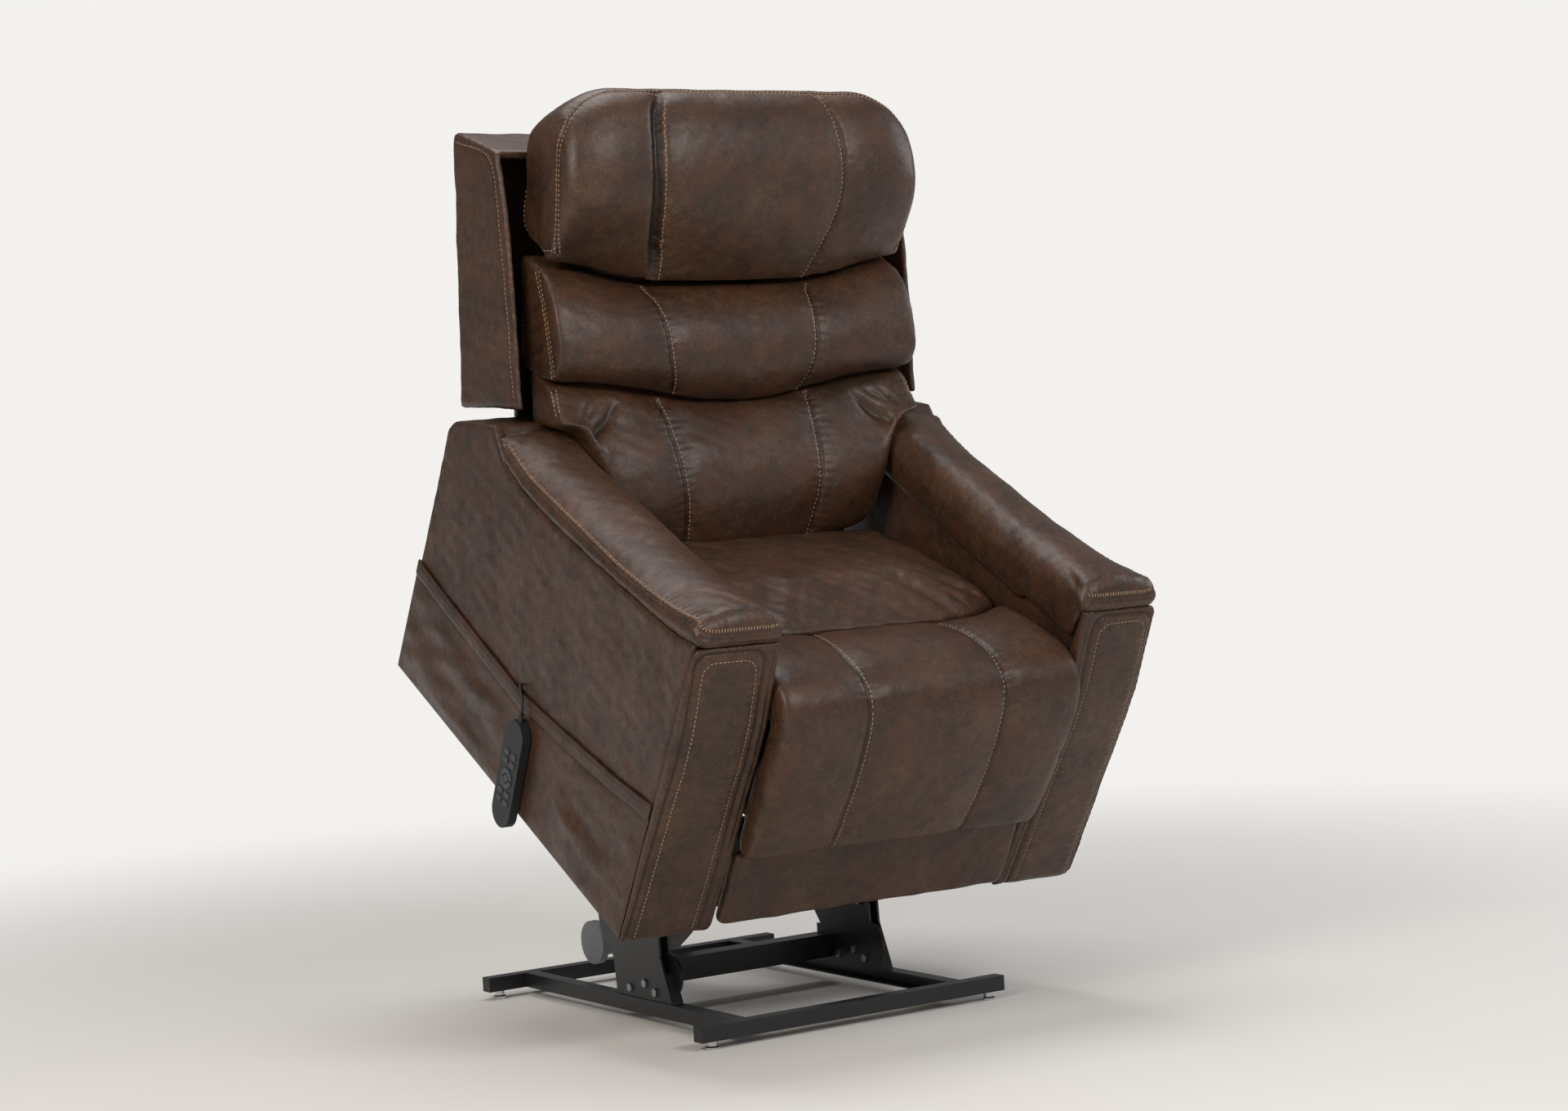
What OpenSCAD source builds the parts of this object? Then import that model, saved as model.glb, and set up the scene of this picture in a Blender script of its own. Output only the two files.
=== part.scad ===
// Lift recliner chair, shown raised, in millimetres.
// X runs to the right of someone facing the chair, Y to the rear and Z up.
// The upholstered body is drawn level, in its own frame, and set on the lift by the module raised().

/* [Base frame] */
// Length of the front and rear crossbars
base_w = 595; // [560:5:600]
// Distance between the crossbars' centres
base_l = 699; // [660:1:740]
// Side of the square crossbar tube
bar = 25; // [22:1:28]
// Wall of the steel tubes and channels
steel_t = 2.5; // [2:0.5:3]
// Height of the crossbars' underside above the floor
bar_lift = 14; // [12:1:20]
// Distance of the glide feet from the middle
glide_x = 274; // [250:1:285]
// Radius of the glide feet
glide_r = 12; // [10:1:15]
// Outside face of the side rails, from the middle
rail_x = 226; // [222:1:226]

/* [Lift linkage] */
// Plate thickness of the lift brackets
bracket_t = 4; // [3:0.5:4.5]
// Thickness of the lift links
link_t = 5; // [4:0.5:5.5]
// Half width of the lift links
link_r = 16; // [14:1:18]
// Radius of the lift pivot pins
pin_r = 6; // [5:0.5:7]
// Radius of the lift actuator's outer tube
lift_tube_r = 22; // [20:1:24]
// Radius of the lift motor's end cap
motor_cap_r = 38; // [34:1:40]

/* [Chair body] */
// Overall width over the arms
chair_w = 890; // [860:5:930]
// Width of one arm
arm_w = 140; // [130:1:146]
// Depth of the arms
arm_d = 823; // [790:1:850]
// Forward tilt of the raised chair, degrees
tilt = 30; // [29:0.5:31]
// Height of the seat's crown in the body frame
seat_top = 458; // [450:1:466]
// Half width of the seat cushion
seat_half = 296; // [280:1:300]
// Half width of the back cushions
back_half = 355; // [340:1:365]
// Half width of the outer back shell
shell_half = 400; // [390:1:410]
// Lean of the back frame, degrees
back_lean = 26; // [25:0.5:27]

/* [Handset] */
// Length of the handset
handset_l = 192; // [180:1:196]
// Width of the handset
handset_w = 58; // [52:1:62]
// Thickness of the handset's shell
handset_t = 15; // [13:1:16]
// Diameter of the handset cord
cord_d = 5; // [4.5:0.1:5.2]

/* [Hidden] */
$fn = 48;

// Frame places: the base's middle is behind the origin, which lies under the middle of the whole chair.
base_y = 144;
chair_y = -229.6;
chair_z = 188.7;
bar_top = bar_lift + bar;
eps = 0.3;
fit = 0.05;

// Lateral layers of the lift linkage, from the middle outwards.
inner_plate_x = rail_x - 24.8;
link1_x = inner_plate_x + 5;
link2_x = link1_x + 6.5;
outer_plate_x = link2_x + 6.5;
riser_x = 230;
riser_t = 4;
frame_x = riser_x + riser_t;

// Lift pivots: on the base (y, z in the row frame) and on the chair (y, z in the body frame).
front_base_pivot = [base_y - 90, 155];
rear_base_pivot = [base_y + 46.3, 172.9];
front_chair_pivot = [94, 31.1];
rear_chair_pivot = [144, 30];
lift_rear_eye = [base_y + 280, 75];
lift_lug = [240, 120];
drive_tube_at = [262, 152];

// Recline, footrest and headrest axes in the body frame.
back_pivot = [640, 330];
back_pin_r = 8;
recline_eye = [305, 165];
recline_lug = [622, 258];
recline_x = -90;
footrest_x = 90;
flip_pivot = [15, 362];
head_pivot = [787, 760];

// Arm layers, from the outside of the chair inwards.
arm_out = chair_w / 2;
arm_in = arm_out - arm_w;
skin_out = arm_out - 4;
board_out = arm_out - 20;
board_t = 8;
inner_skin_t = 8;
inner_board_t = 12;
arm_front = 14;
arm_back = arm_d;

leather = "#4a3628";
leather_dark = "#3c2b20";
steel = "#1d1e20";
wood = "#b08d5c";

function turn(p, a) = [p[0] * cos(a) - p[1] * sin(a), p[0] * sin(a) + p[1] * cos(a)];
function on_chair(p) = [chair_y, chair_z] + turn(p, tilt);
function heading(p, q) = atan2(q[1] - p[1], q[0] - p[0]);
function flat(rings) = [for (r = rings) each r];
function sum(v, i = 0) = i >= len(v) ? 0 : v[i] + sum(v, i + 1);
function middle(ring) = [for (k = [0:2]) sum([for (p = ring) p[k]]) / len(ring)];
function unit(v) = v / norm(v);

front_link_up = on_chair(front_chair_pivot);
rear_link_up = on_chair(rear_chair_pivot);
lift_eye_up = on_chair(lift_lug);
lift_angle = heading(lift_rear_eye, lift_eye_up);
lift_reach = norm(lift_eye_up - lift_rear_eye);

// Sets the level chair body on the raised lift.
module raised() {
  translate([0, chair_y, chair_z]) rotate([tilt, 0, 0]) children();
}

// Draws its children on both sides of the chair.
module both() {
  children();
  mirror([1, 0, 0]) children();
}

// A plate square to X: its outline is drawn in (y, z) and it fills x0 to x0 + t.
module plate(x0, t) {
  translate([x0, 0, 0]) rotate([90, 0, 90]) linear_extrude(t) children();
}

// A round bar along X at p = (y, z).
module rod(p, r, x0, x1) {
  translate([x0, p[0], p[1]]) rotate([0, 90, 0]) cylinder(h = x1 - x0, r = r);
}

// A hexagon bolt head on the X face at x0.
module hex_head(p, r, x0, t) {
  translate([x0, p[0], p[1]]) rotate([0, 90, 0]) cylinder(h = t, r = r, $fn = 6);
}

// Outline of a bar from p to q with round ends, a little wider than its waist.
module bar_outline(p, q, r) {
  translate(p) circle(r);
  translate(q) circle(r);
  translate(p) rotate(heading(p, q)) translate([0, -0.85 * r]) square([norm(q - p), 1.7 * r]);
}

module link_outline(p, q, r, hole_p, hole_q) {
  difference() {
    bar_outline(p, q, r);
    translate(p) circle(hole_p);
    translate(q) circle(hole_q);
  }
}

// A closed skin through rings of points, with its end rings closed by fans.
module loft(rings) {
  m = len(rings[0]);
  n = len(rings);
  points = concat(flat(rings), [middle(rings[0]), middle(rings[n - 1])]);
  walls = [for (i = [0:n - 2], j = [0:m - 1]) each [
    [i * m + j, i * m + (j + 1) % m, (i + 1) * m + (j + 1) % m],
    [i * m + j, (i + 1) * m + (j + 1) % m, (i + 1) * m + j]
  ]];
  start = [for (j = [0:m - 1]) [n * m, (j + 1) % m, j]];
  end = [for (j = [0:m - 1]) [n * m + 1, (n - 1) * m + j, (n - 1) * m + (j + 1) % m]];
  polyhedron(points, concat(walls, start, end));
}

// A cushion drawn across the chair: its (y, z) profile is drawn in towards pole at the sides.
module cushion(profile, pole, half, shares) {
  count = len(shares) - 1;
  loft([for (i = [0:count]) [for (p = profile)
    [half * shares[i][0], pole[0] + (p[0] - pole[0]) * shares[i][1],
    pole[1] + (p[1] - pole[1]) * shares[i][1]]]]);
}

// Directions up along the leaning back and out from its front.
lean_up = turn([0, 1], -26.4);
lean_out = [-lean_up[1], lean_up[0]];

// One section of a back cushion: its (y, z) profile scaled about pole, along the back's lean and across it.
// A station is [x, up, down, front, rear, rise].
function back_ring(profile, pole, s, side) = [for (p = profile)
  let (up = (p - pole) * lean_up, out = (p - pole) * lean_out,
    at = pole + (up * (up > 0 ? s[1] : s[2]) + s[5]) * lean_up + out * (out > 0 ? s[3] : s[4]) * lean_out)
  [side * s[0], at[0], at[1]]];

// A back cushion, from its stations between the middle and one side. The other side mirrors it.
module back_pad(profile, pole, stations) {
  last = len(stations) - 1;
  loft(concat([for (i = [last:-1:1]) back_ring(profile, pole, stations[i], -1)],
    [for (s = stations) back_ring(profile, pole, s, 1)]));
}

// Share of the half width and of the full profile at each station across a cushion with two sewn channels.
channels = [
  [-1, 0.74], [-0.985, 0.88], [-0.93, 0.955], [-0.8, 0.99], [-0.5, 1], [-0.465, 0.965],
  [-0.43, 1], [-0.15, 1.01],
  [0.15, 1.01], [0.43, 1], [0.465, 0.965], [0.5, 1], [0.8, 0.99], [0.93, 0.955], [0.985, 0.88], [1, 0.74]
];

module crossbar(y) {
  difference() {
    translate([-base_w / 2, y - bar / 2, bar_lift]) cube([base_w, bar, bar]);
    translate([-base_w / 2 - 1, y - bar / 2 + steel_t, bar_lift + steel_t])
      cube([base_w + 2, bar - 2 * steel_t, bar - 2 * steel_t]);
  }
}

module front_crossbar() {
  color(steel) crossbar(base_y - base_l / 2);
}

// The rear bar carries the two ears of the lift actuator's clevis.
module rear_crossbar() {
  y = base_y + base_l / 2;
  ear = [[y - bar / 2, bar_lift], [y - bar / 2, bar_top + 20],
    [lift_rear_eye[0] - 6, lift_rear_eye[1] + 16],
    [lift_rear_eye[0] - 16, lift_rear_eye[1] + 6], [lift_rear_eye[0] - 16, lift_rear_eye[1] - 8]];
  color(steel) {
    crossbar(y);
    both() difference() {
      plate(20, 4) polygon(ear);
      rod(lift_rear_eye, pin_r, 10, 30);
    }
  }
}

// An inward-facing channel between the crossbars.
module side_rail() {
  length = base_l - bar;
  translate([0, base_y - length / 2, 0]) difference() {
    translate([rail_x - bar, 0, bar_lift]) cube([bar, length, bar]);
    translate([rail_x - bar - 1, -1, bar_lift + steel_t]) cube([bar + 1 - steel_t, length + 2,
      bar - 2 * steel_t]);
  }
}

module side_rails() {
  color(steel) both() side_rail();
}

module base_cross_tube() {
  color(steel) difference() {
    translate([-inner_plate_x, base_y, bar_top + 7]) cube([2 * inner_plate_x, 40, 40]);
    translate([-inner_plate_x - 1, base_y + steel_t, bar_top + 7 + steel_t])
      cube([2 * inner_plate_x + 2, 40 - 2 * steel_t, 40 - 2 * steel_t]);
  }
}

module crossbar_end_caps() {
  plug = bar - 2 * steel_t - 2 * fit;
  color("#17181a") both() for (y = [base_y - base_l / 2, base_y + base_l / 2]) {
    translate([base_w / 2, y - bar / 2, bar_lift]) cube([2.5, bar, bar]);
    translate([base_w / 2 - 12, y - plug / 2, bar_lift + bar / 2 - plug / 2]) cube([12, plug, plug]);
  }
}

// Screwed glides: a plastic collar under the bar and a chromed foot.
module glide_feet() {
  color("#b9bcc0") both() for (y = [base_y - base_l / 2,
    base_y + base_l / 2]) translate([glide_x, y, 0]) {
    cylinder(h = 4, r = glide_r);
    translate([0, 0, 4]) cylinder(h = 2, r1 = glide_r, r2 = glide_r - 4, $fn = 48);
    translate([0, 0, 6]) cylinder(h = bar_lift - 6, r = glide_r - 4);
  }
}

module bracket_outline() {
  translate([base_y, 0]) polygon([[-150, bar_top], [25, bar_top], [32, 100], [72, 150],
    [76, 175], [62, 196],
    [30, 200], [-80, 184], [-108, 176], [-116, 150], [-118, 116]]);
}

// Each bracket is an outer plate with a folded front flange, and an inner plate with a round nose.
module lift_bracket() {
  difference() {
    union() {
      plate(outer_plate_x, bracket_t) bracket_outline();
      plate(inner_plate_x, bracket_t) union() {
        bracket_outline();
        translate([base_y - 118, 82]) circle(36);
        translate([base_y, bar_top]) square([45, 62]);
      }
      plate(inner_plate_x + bracket_t, outer_plate_x - inner_plate_x - bracket_t) translate([base_y, 0])
        polygon([[-150, bar_top], [-145, bar_top], [-126, 88], [-131, 88]]);
    }
    rod(front_base_pivot, pin_r, inner_plate_x - 1, inner_plate_x + bracket_t + 1);
    rod(rear_base_pivot, pin_r, outer_plate_x - 1, outer_plate_x + bracket_t + 1);
    for (p = bracket_bolts) rod(p, 4, inner_plate_x - 1, outer_plate_x + bracket_t + 1);
  }
}

bracket_bolts = [[base_y - 68, 66], [base_y - 100, 54], [base_y - 20, 54]];

module lift_bracket_left() {
  color(steel) mirror([1, 0, 0]) lift_bracket();
}

module lift_bracket_right() {
  color(steel) lift_bracket();
}

// Bracket bolts, and the fixed pins: both lift pivots on each bracket and the lift actuator's rear eye.
module lift_fasteners() {
  color("#2c2d30") {
    both() {
      for (p = bracket_bolts) {
        rod(p, 4, inner_plate_x - 3, outer_plate_x + bracket_t);
        hex_head(p, 7.5, outer_plate_x + bracket_t, 4);
        hex_head(p, 7.5, inner_plate_x - 4, 4);
      }
      rod(front_base_pivot, pin_r, inner_plate_x, link1_x + link_t + 0.5);
      hex_head(front_base_pivot, 9, inner_plate_x - 5, 5);
      rod(rear_base_pivot, pin_r, link2_x - 0.5, outer_plate_x + bracket_t);
      hex_head(rear_base_pivot, 9, outer_plate_x + bracket_t, 4);
    }
    rod(lift_rear_eye, pin_r, -24, 24);
    both() hex_head(lift_rear_eye, 9, 24, 4);
  }
}

// The two front links and the torque tube that makes both sides rise together.
module front_lift_links() {
  at = front_base_pivot + 0.55 * (front_link_up - front_base_pivot);
  color(steel) {
    both() plate(link1_x, link_t) link_outline(front_base_pivot, front_link_up, link_r,
      pin_r + fit, pin_r + fit);
    difference() {
      rod(at, 14, -link1_x, link1_x);
      rod(at, 14 - steel_t, -link1_x - 1, link1_x + 1);
    }
  }
}

module rear_lift_links() {
  color(steel) both() plate(link2_x, link_t)
    link_outline(rear_base_pivot, rear_link_up, link_r, pin_r + fit, pin_r + 3);
}

// Places the lift actuator: its own +Y runs from the rear eye to the front eye.
module along_lift() {
  translate([0, lift_rear_eye[0], lift_rear_eye[1]]) rotate([lift_angle, 0, 0]) children();
}

module lift_actuator_housing() {
  body = 400;
  color("#26282b") along_lift() difference() {
    union() {
      rotate([0, 90, 0]) translate([0, 0, -15]) cylinder(h = 30, r = 15);
      translate([-12, 0, -12]) cube([24, 34, 24]);
      translate([-30, 26, -26]) cube([60, 64, 64]);
      translate([0, 90, 0]) rotate([-90, 0, 0]) cylinder(h = body - 90, r = lift_tube_r);
      translate([0, body - 20, 0]) rotate([-90, 0, 0]) cylinder(h = 20, r = lift_tube_r + 4);
    }
    rotate([0, 90, 0]) translate([0, 0, -16]) cylinder(h = 32, r = pin_r + fit);
    translate([0, 180, 0]) rotate([-90, 0, 0]) cylinder(h = body, r = 10.5);
  }
}

// The lift motor lies across the chair, on the side of the actuator's gearbox.
module lift_motor() {
  at = [52, 12];
  color("#8b8e93") along_lift() {
    rod(at, 25, -137, -30);
    rod(at, motor_cap_r, -150, -137);
  }
}

module lift_actuator_rod() {
  color("#b9bcc0") along_lift() {
    translate([0, 370, 0]) rotate([-90, 0, 0]) cylinder(h = lift_reach - 382, r = 10);
    translate([-9, lift_reach - 26, -10]) cube([18, 14, 20]);
    difference() {
      rod([lift_reach, 0], 14, -9, 9);
      rod([lift_reach, 0], pin_r, -10, 10);
    }
    rod([lift_reach, 0], pin_r, -9.5, 9.5);
  }
}

// Plates under the seat frame that the lift links raise, with the tube and lugs that the lift rod pushes.
module riser_plates() {
  outline = [[72, 60], [74, 22], [84, 11], [152, 11], [168, 26], [190, 100], [262, 126],
    [296, 150], [330, 232],
    [330, 276], [72, 276]];
  color(steel) raised() {
    both() difference() {
      plate(riser_x, riser_t) polygon(outline);
      for (p = [front_chair_pivot, rear_chair_pivot]) rod(p, pin_r, riser_x - 1, riser_x + riser_t + 1);
    }
    difference() {
      union() {
        rod(drive_tube_at, 15, -riser_x, riser_x);
        both() plate(11, 5) bar_outline(lift_lug, drive_tube_at, 16);
        for (x = [recline_x - 15, recline_x + 11]) difference() {
          plate(x, 4) bar_outline(recline_eye, drive_tube_at, 13);
          rod(recline_eye, 5, x - 1, x + 5);
        }
      }
      rod(drive_tube_at, 15 - steel_t, -riser_x - 1, riser_x + 1);
    }
    both() hex_head(lift_lug, 9, 16, 5);
  }
}

// Pins on the chassis: lift links, back hinge and the recline actuator's eye.
module chassis_pins() {
  color("#8d9094") raised() {
    both() {
      rod(front_chair_pivot, pin_r, link1_x - 0.5, riser_x + riser_t);
      rod(front_chair_pivot, pin_r + 4, link1_x + link_t + 0.5, riser_x);
      rod(rear_chair_pivot, pin_r, link2_x - 0.5, riser_x + riser_t);
      rod(rear_chair_pivot, pin_r + 4, link2_x + link_t + 0.5, riser_x);
      for (p = [front_chair_pivot, rear_chair_pivot]) hex_head(p, 9, riser_x + riser_t, 5);
      rod(back_pivot, back_pin_r, frame_x + 12, frame_x + 47);
      hex_head(back_pivot, 12, frame_x + 7, 5);
    }
    rod(recline_eye, 5, recline_x - 18, recline_x + 18);
  }
}

rail_low = 236;
rail_high = 276;

rail_back = 668;

// Steel side and cross rails, with an ear for the back's hinge on each side.
module seat_frame() {
  ear = [[back_pivot[0] - 40, rail_high], [back_pivot[0] + 40, rail_high],
    [back_pivot[0] + 16, back_pivot[1] + 14],
    [back_pivot[0], back_pivot[1] + 20], [back_pivot[0] - 16, back_pivot[1] + 14]];
  color(steel) raised() {
    both() translate([frame_x, 40, rail_low]) cube([25, rail_back - 10, rail_high - rail_low]);
    both() difference() {
      plate(frame_x + 12, 5) polygon(ear);
      rod(back_pivot, back_pin_r, frame_x, frame_x + 20);
    }
    translate([-frame_x, 40, rail_low - 40]) cube([2 * frame_x, 30, 36]);
    both() translate([frame_x, 40, rail_low - 40]) cube([25, 30, 40]);
    translate([-frame_x, rail_back, rail_low]) cube([2 * frame_x, 30, rail_high - rail_low]);
  }
}

module seat_deck() {
  color(wood) raised() translate([-262, 60, rail_high]) cube([524, 445, 8]);
}

// Brackets that bolt the arms to the seat frame, and carry the lower rail, apron and supply.
module arm_mounts() {
  color(steel) raised() both() for (y = [110, 470]) {
    translate([frame_x + 25, y, rail_low]) cube([arm_in - frame_x - 25 - eps, 60, 4]);
    translate([frame_x + 25, y, rail_low + 4]) cube([4, 60, 30]);
    translate([arm_in - eps - 4, y, rail_low + 4]) cube([4, 60, 30]);
  }
}

frame_top = 486;
rear_skin_t = 18;

// Boards inside an arm: two sides, front and rear posts and the top.
module arm_frame() {
  x0 = arm_in + inner_skin_t;
  depth = arm_back - rear_skin_t - arm_front - 6;
  difference() {
    translate([x0, arm_front + 6, 6]) cube([board_out - x0, depth, frame_top - 6]);
    translate([x0 + inner_board_t, arm_front + 26, 26])
      cube([board_out - x0 - inner_board_t - board_t, depth - 40, frame_top - 46]);
  }
}

// Where the handset cord comes out of the arm into the pocket.
module cord_hole() {
  from = cord_in[0];
  way = cord_in[4] - from;
  translate(from) rotate([0, acos(way[2] / norm(way)), atan2(way[1], way[0])]) translate([0, 0, -2])
    cylinder(h = norm(way) + 12, r = cord_r + 2);
}

module arm_frame_left() {
  color(wood) raised() difference() {
    mirror([1, 0, 0]) arm_frame();
    cord_hole();
  }
}

module arm_frame_right() {
  color(wood) raised() arm_frame();
}

// Arm pad stations: y, lower seam, stitched edge, inner edge from the middle, crown.
pad_stations = [
  [2, 535, 545, 290, 0.5], [14.5, 535, 564, 285, 0.9], [30, 534, 576, 284, 1], [66, 524, 561, 284, 1],
  [135, 516, 545, 285, 1], [258, 507, 530, 287, 1], [392, 498, 525, 291, 1], [500, 493, 521, 299, 0.9],
  [560, 493, 521, 301, 0.7], [630, 507, 530, 301, 0.5], [662, 531, 540, 301, 0.2]
];
rear_top = [[668, 534], [688, 545], [790, 500], [810, 486], [820, 470], [arm_back, 455]];

// Pocket mouth: (y, z) points from the rear edge to the front panel.
pocket_mouth = [[arm_back, 216], [698, 209], [541, 202], [421, 198], [258, 217], [129, 233],
  [arm_front, 254]];
side_top = concat([for (s = pad_stations) if (s[0] > arm_front) [s[0], s[1] - 0.5]], rear_top);

module side_outline() {
  polygon(concat([[arm_back, 0], [arm_front, 0], [arm_front, 534]], side_top));
}

// The part of the side above a line that lies up from the pocket's mouth.
module above_mouth(up) {
  polygon(concat([for (p = pocket_mouth) p + [0, up]], [[arm_front, 534]], side_top));
}

// The cover over the arm's rear post and the rear end of its top.
module arm_rear_skin() {
  y = arm_back - rear_skin_t;
  plate(arm_in, board_out - arm_in) polygon(concat([[y, frame_top + eps],
    [663, frame_top + eps], [663, 530]],
    rear_top, [[arm_back, 4], [y, 4]]));
}

module side_panel_right() {
  color(leather) raised() {
    plate(board_out, skin_out - board_out) side_outline();
    arm_rear_skin();
  }
}

// The left side is thin behind the pocket and padded above its mouth.
module side_panel_left() {
  color(leather) raised() difference() {
    mirror([1, 0, 0]) {
      plate(board_out, 4) side_outline();
      plate(board_out + 4, 6) above_mouth(12);
      plate(board_out + 10, skin_out - board_out - 10) above_mouth(30);
      arm_rear_skin();
    }
    cord_hole();
  }
}

// A full-length sewn pocket: an outer panel with a hem, closed along its ends and foot.
module side_pocket() {
  edge = 8;
  x0 = board_out + 4;
  depth = skin_out - x0;
  below = concat([[arm_front, 4], [arm_back, 4]], pocket_mouth);
  color(leather) raised() mirror([1, 0, 0]) {
    plate(skin_out, 3) polygon(below);
    plate(skin_out + 3, 1) polygon(concat(pocket_mouth, [for (i = [len(pocket_mouth) - 1:-1:0])
      pocket_mouth[i] - [0, 27]]));
    plate(x0, depth) difference() {
      polygon(below);
      translate([0, edge]) polygon([[arm_front + edge, 4], [arm_back - edge, 4], [arm_back - edge, 400],
        [arm_front + edge, 400]]);
    }
  }
}

module inner_panels() {
  color(leather_dark) raised() both() translate([arm_in, arm_front, 170])
    cube([inner_skin_t, arm_back - 43 - arm_front, frame_top - 172]);
}

// The pad is crowned, falls to the inside, laps the arm's inner edge and fills the space over the boards.
module arm_pad() {
  out = skin_out + 3;
  lap = arm_in - 1;
  loft([for (s = pad_stations)
    let (y = s[0], low = s[1], top = s[2], in = s[3], c = s[4], h = top - low,
      seat = y < 20 ? low - 4 : frame_top + eps) [
    [out - 2, y, low], [out, y, low + 0.3 * h], [out - 1, y, low + 0.75 * h], [out - 7, y, top],
    [out - 30, y, top + 8 * c], [out - 75, y, top + 13 * c], [in + 35, y, top + 4 * c],
    [in + 12, y, top - 6],
    [in + 1, y, low + 0.3 * h], [in + 2, y, low - 4], [lap, y, low - 4], [arm_in + 9, y, seat],
    [board_out - 2, y, seat], [board_out - 1, y, low]
  ]]);
}

module arm_pad_left() {
  color(leather) raised() mirror([1, 0, 0]) arm_pad();
}

module arm_pad_right() {
  color(leather) raised() arm_pad();
}

// Front panel stations: z, front face y, inner edge from the middle.
front_stations = [
  [0, 6, 285], [14, -2, 282], [81, -7, 285], [190, -11, 291], [276, -15, 295], [330, -19, 298],
  [401, -18, 302],
  [466, -8, 305], [515, 2, 307], [530, 8, 309]
];

module front_panel() {
  back = arm_front - eps;
  loft([for (s = front_stations) let (f = s[1], i = s[2], o = arm_out - 1, d = back - f) [
    [i + 4, back, s[0]], [i, back - 0.25 * d, s[0]], [i + 2, f + 0.28 * d, s[0]],
    [i + 12, f + 0.07 * d, s[0]],
    [i + 30, f, s[0]], [o - 30, f, s[0]], [o - 10, f + 0.07 * d, s[0]], [o, f + 0.28 * d, s[0]],
    [o, back, s[0]]
  ]]);
}

module front_panel_left() {
  color(leather) raised() mirror([1, 0, 0]) front_panel();
}

module front_panel_right() {
  color(leather) raised() front_panel();
}

// Padded rail below the footrest, hung from the seat frame's front rail by two straps.
module lower_front_rail() {
  color(leather) raised() {
    hull() both() for (z = [30, 143]) translate([0, 0, z]) rotate([0, 90, 0]) translate([0, -2, 0])
      cylinder(h = 270, r = 12, $fn = 24);
    both() translate([150, 10, 60]) cube([40, 4, rail_low - 100]);
    both() translate([150, 10, rail_low - 44]) cube([40, 60, 4]);
  }
}

module rear_apron() {
  color(leather_dark) raised() translate([-arm_in + eps, arm_back - rear_skin_t, 50])
    cube([2 * (arm_in - eps), rear_skin_t, 100]);
}

module seat_cushion() {
  profile = [[166, 284], [164, 330], [164, 430], [176, 450], [230, seat_top], [320, seat_top - 2],
    [420, seat_top - 9], [500, seat_top - 22], [530, seat_top - 32], [540, seat_top - 50],
    [542, 340], [540, 284]];
  color(leather) raised() cushion(profile, [350, 284], seat_half, channels);
}

// The bolster is the seat's nose: a mitre below it lets the footrest pad swing up.
module seat_bolster() {
  profile = [[62, 284], [60, 384], [18, 388], [-52, 432], [-48, 440], [-28, 458], [0, 469], [30, 472],
    [79, 469], [120, 458], [150, 448], [161, 430], [160, 284]];
  color(leather) raised() cushion(profile, [110, 284], 272, channels);
}

// Mains transformer and motor control, with the socket for the mains lead at its rear.
module power_supply() {
  color("#202124") raised() difference() {
    translate([130, rail_back - 80, rail_low - 60]) cube([70, 110, 60]);
    translate([150, rail_back + 18, rail_low - 42]) cube([28, 13, 22]);
  }
}

recline_reach = norm(recline_lug - recline_eye);
recline_angle = heading(recline_eye, recline_lug);

module along_recline() {
  raised() translate([recline_x, recline_eye[0], recline_eye[1]]) rotate([recline_angle, 0,
    0]) children();
}

module recline_actuator_housing() {
  body = 200;
  color("#26282b") along_recline() difference() {
    union() {
      rod([0, 0], 13, -10, 10);
      translate([-10, 0, -10]) cube([20, 26, 20]);
      translate([-24, 20, -20]) cube([48, 54, 50]);
      rod([47, 12], 19, 24, 80);
      translate([0, 74, 0]) rotate([-90, 0, 0]) cylinder(h = body - 74, r = 17);
    }
    rod([0, 0], 5 + fit, -11, 11);
    translate([0, 110, 0]) rotate([-90, 0, 0]) cylinder(h = body, r = 8.5);
  }
}

module recline_actuator_rod() {
  color("#b9bcc0") along_recline() {
    translate([0, 165, 0]) rotate([-90, 0, 0]) cylinder(h = recline_reach - 173, r = 8);
    rod([recline_reach, 0], 11, -7, 7);
    rod([recline_reach, 0], 5, -19, 19);
  }
}

// Fixed under the seat; its rod is part of the carriage that it pushes forward.
module footrest_actuator() {
  color("#26282b") raised() difference() {
    union() {
      translate([footrest_x, 345, 254]) rotate([-90, 0, 0]) cylinder(h = 215, r = 17);
      translate([footrest_x - 22, 560, 232]) cube([44, 50, 40]);
      rod([585, 250], 18, footrest_x - 80, footrest_x - 22);
      translate([footrest_x - 10, 610, 244]) cube([20, rail_back - 610 - eps, 20]);
    }
    translate([footrest_x, 340, 254]) rotate([-90, 0, 0]) cylinder(h = 245, r = 8.5);
  }
}

// Places the back frame: its own +Z runs up the back from the hinge.
module along_back() {
  raised() translate([0, back_pivot[0], back_pivot[1]]) rotate([-back_lean, 0, 0]) children();
}

head_bar = back_pivot + turn([0, 482], -back_lean);

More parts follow.
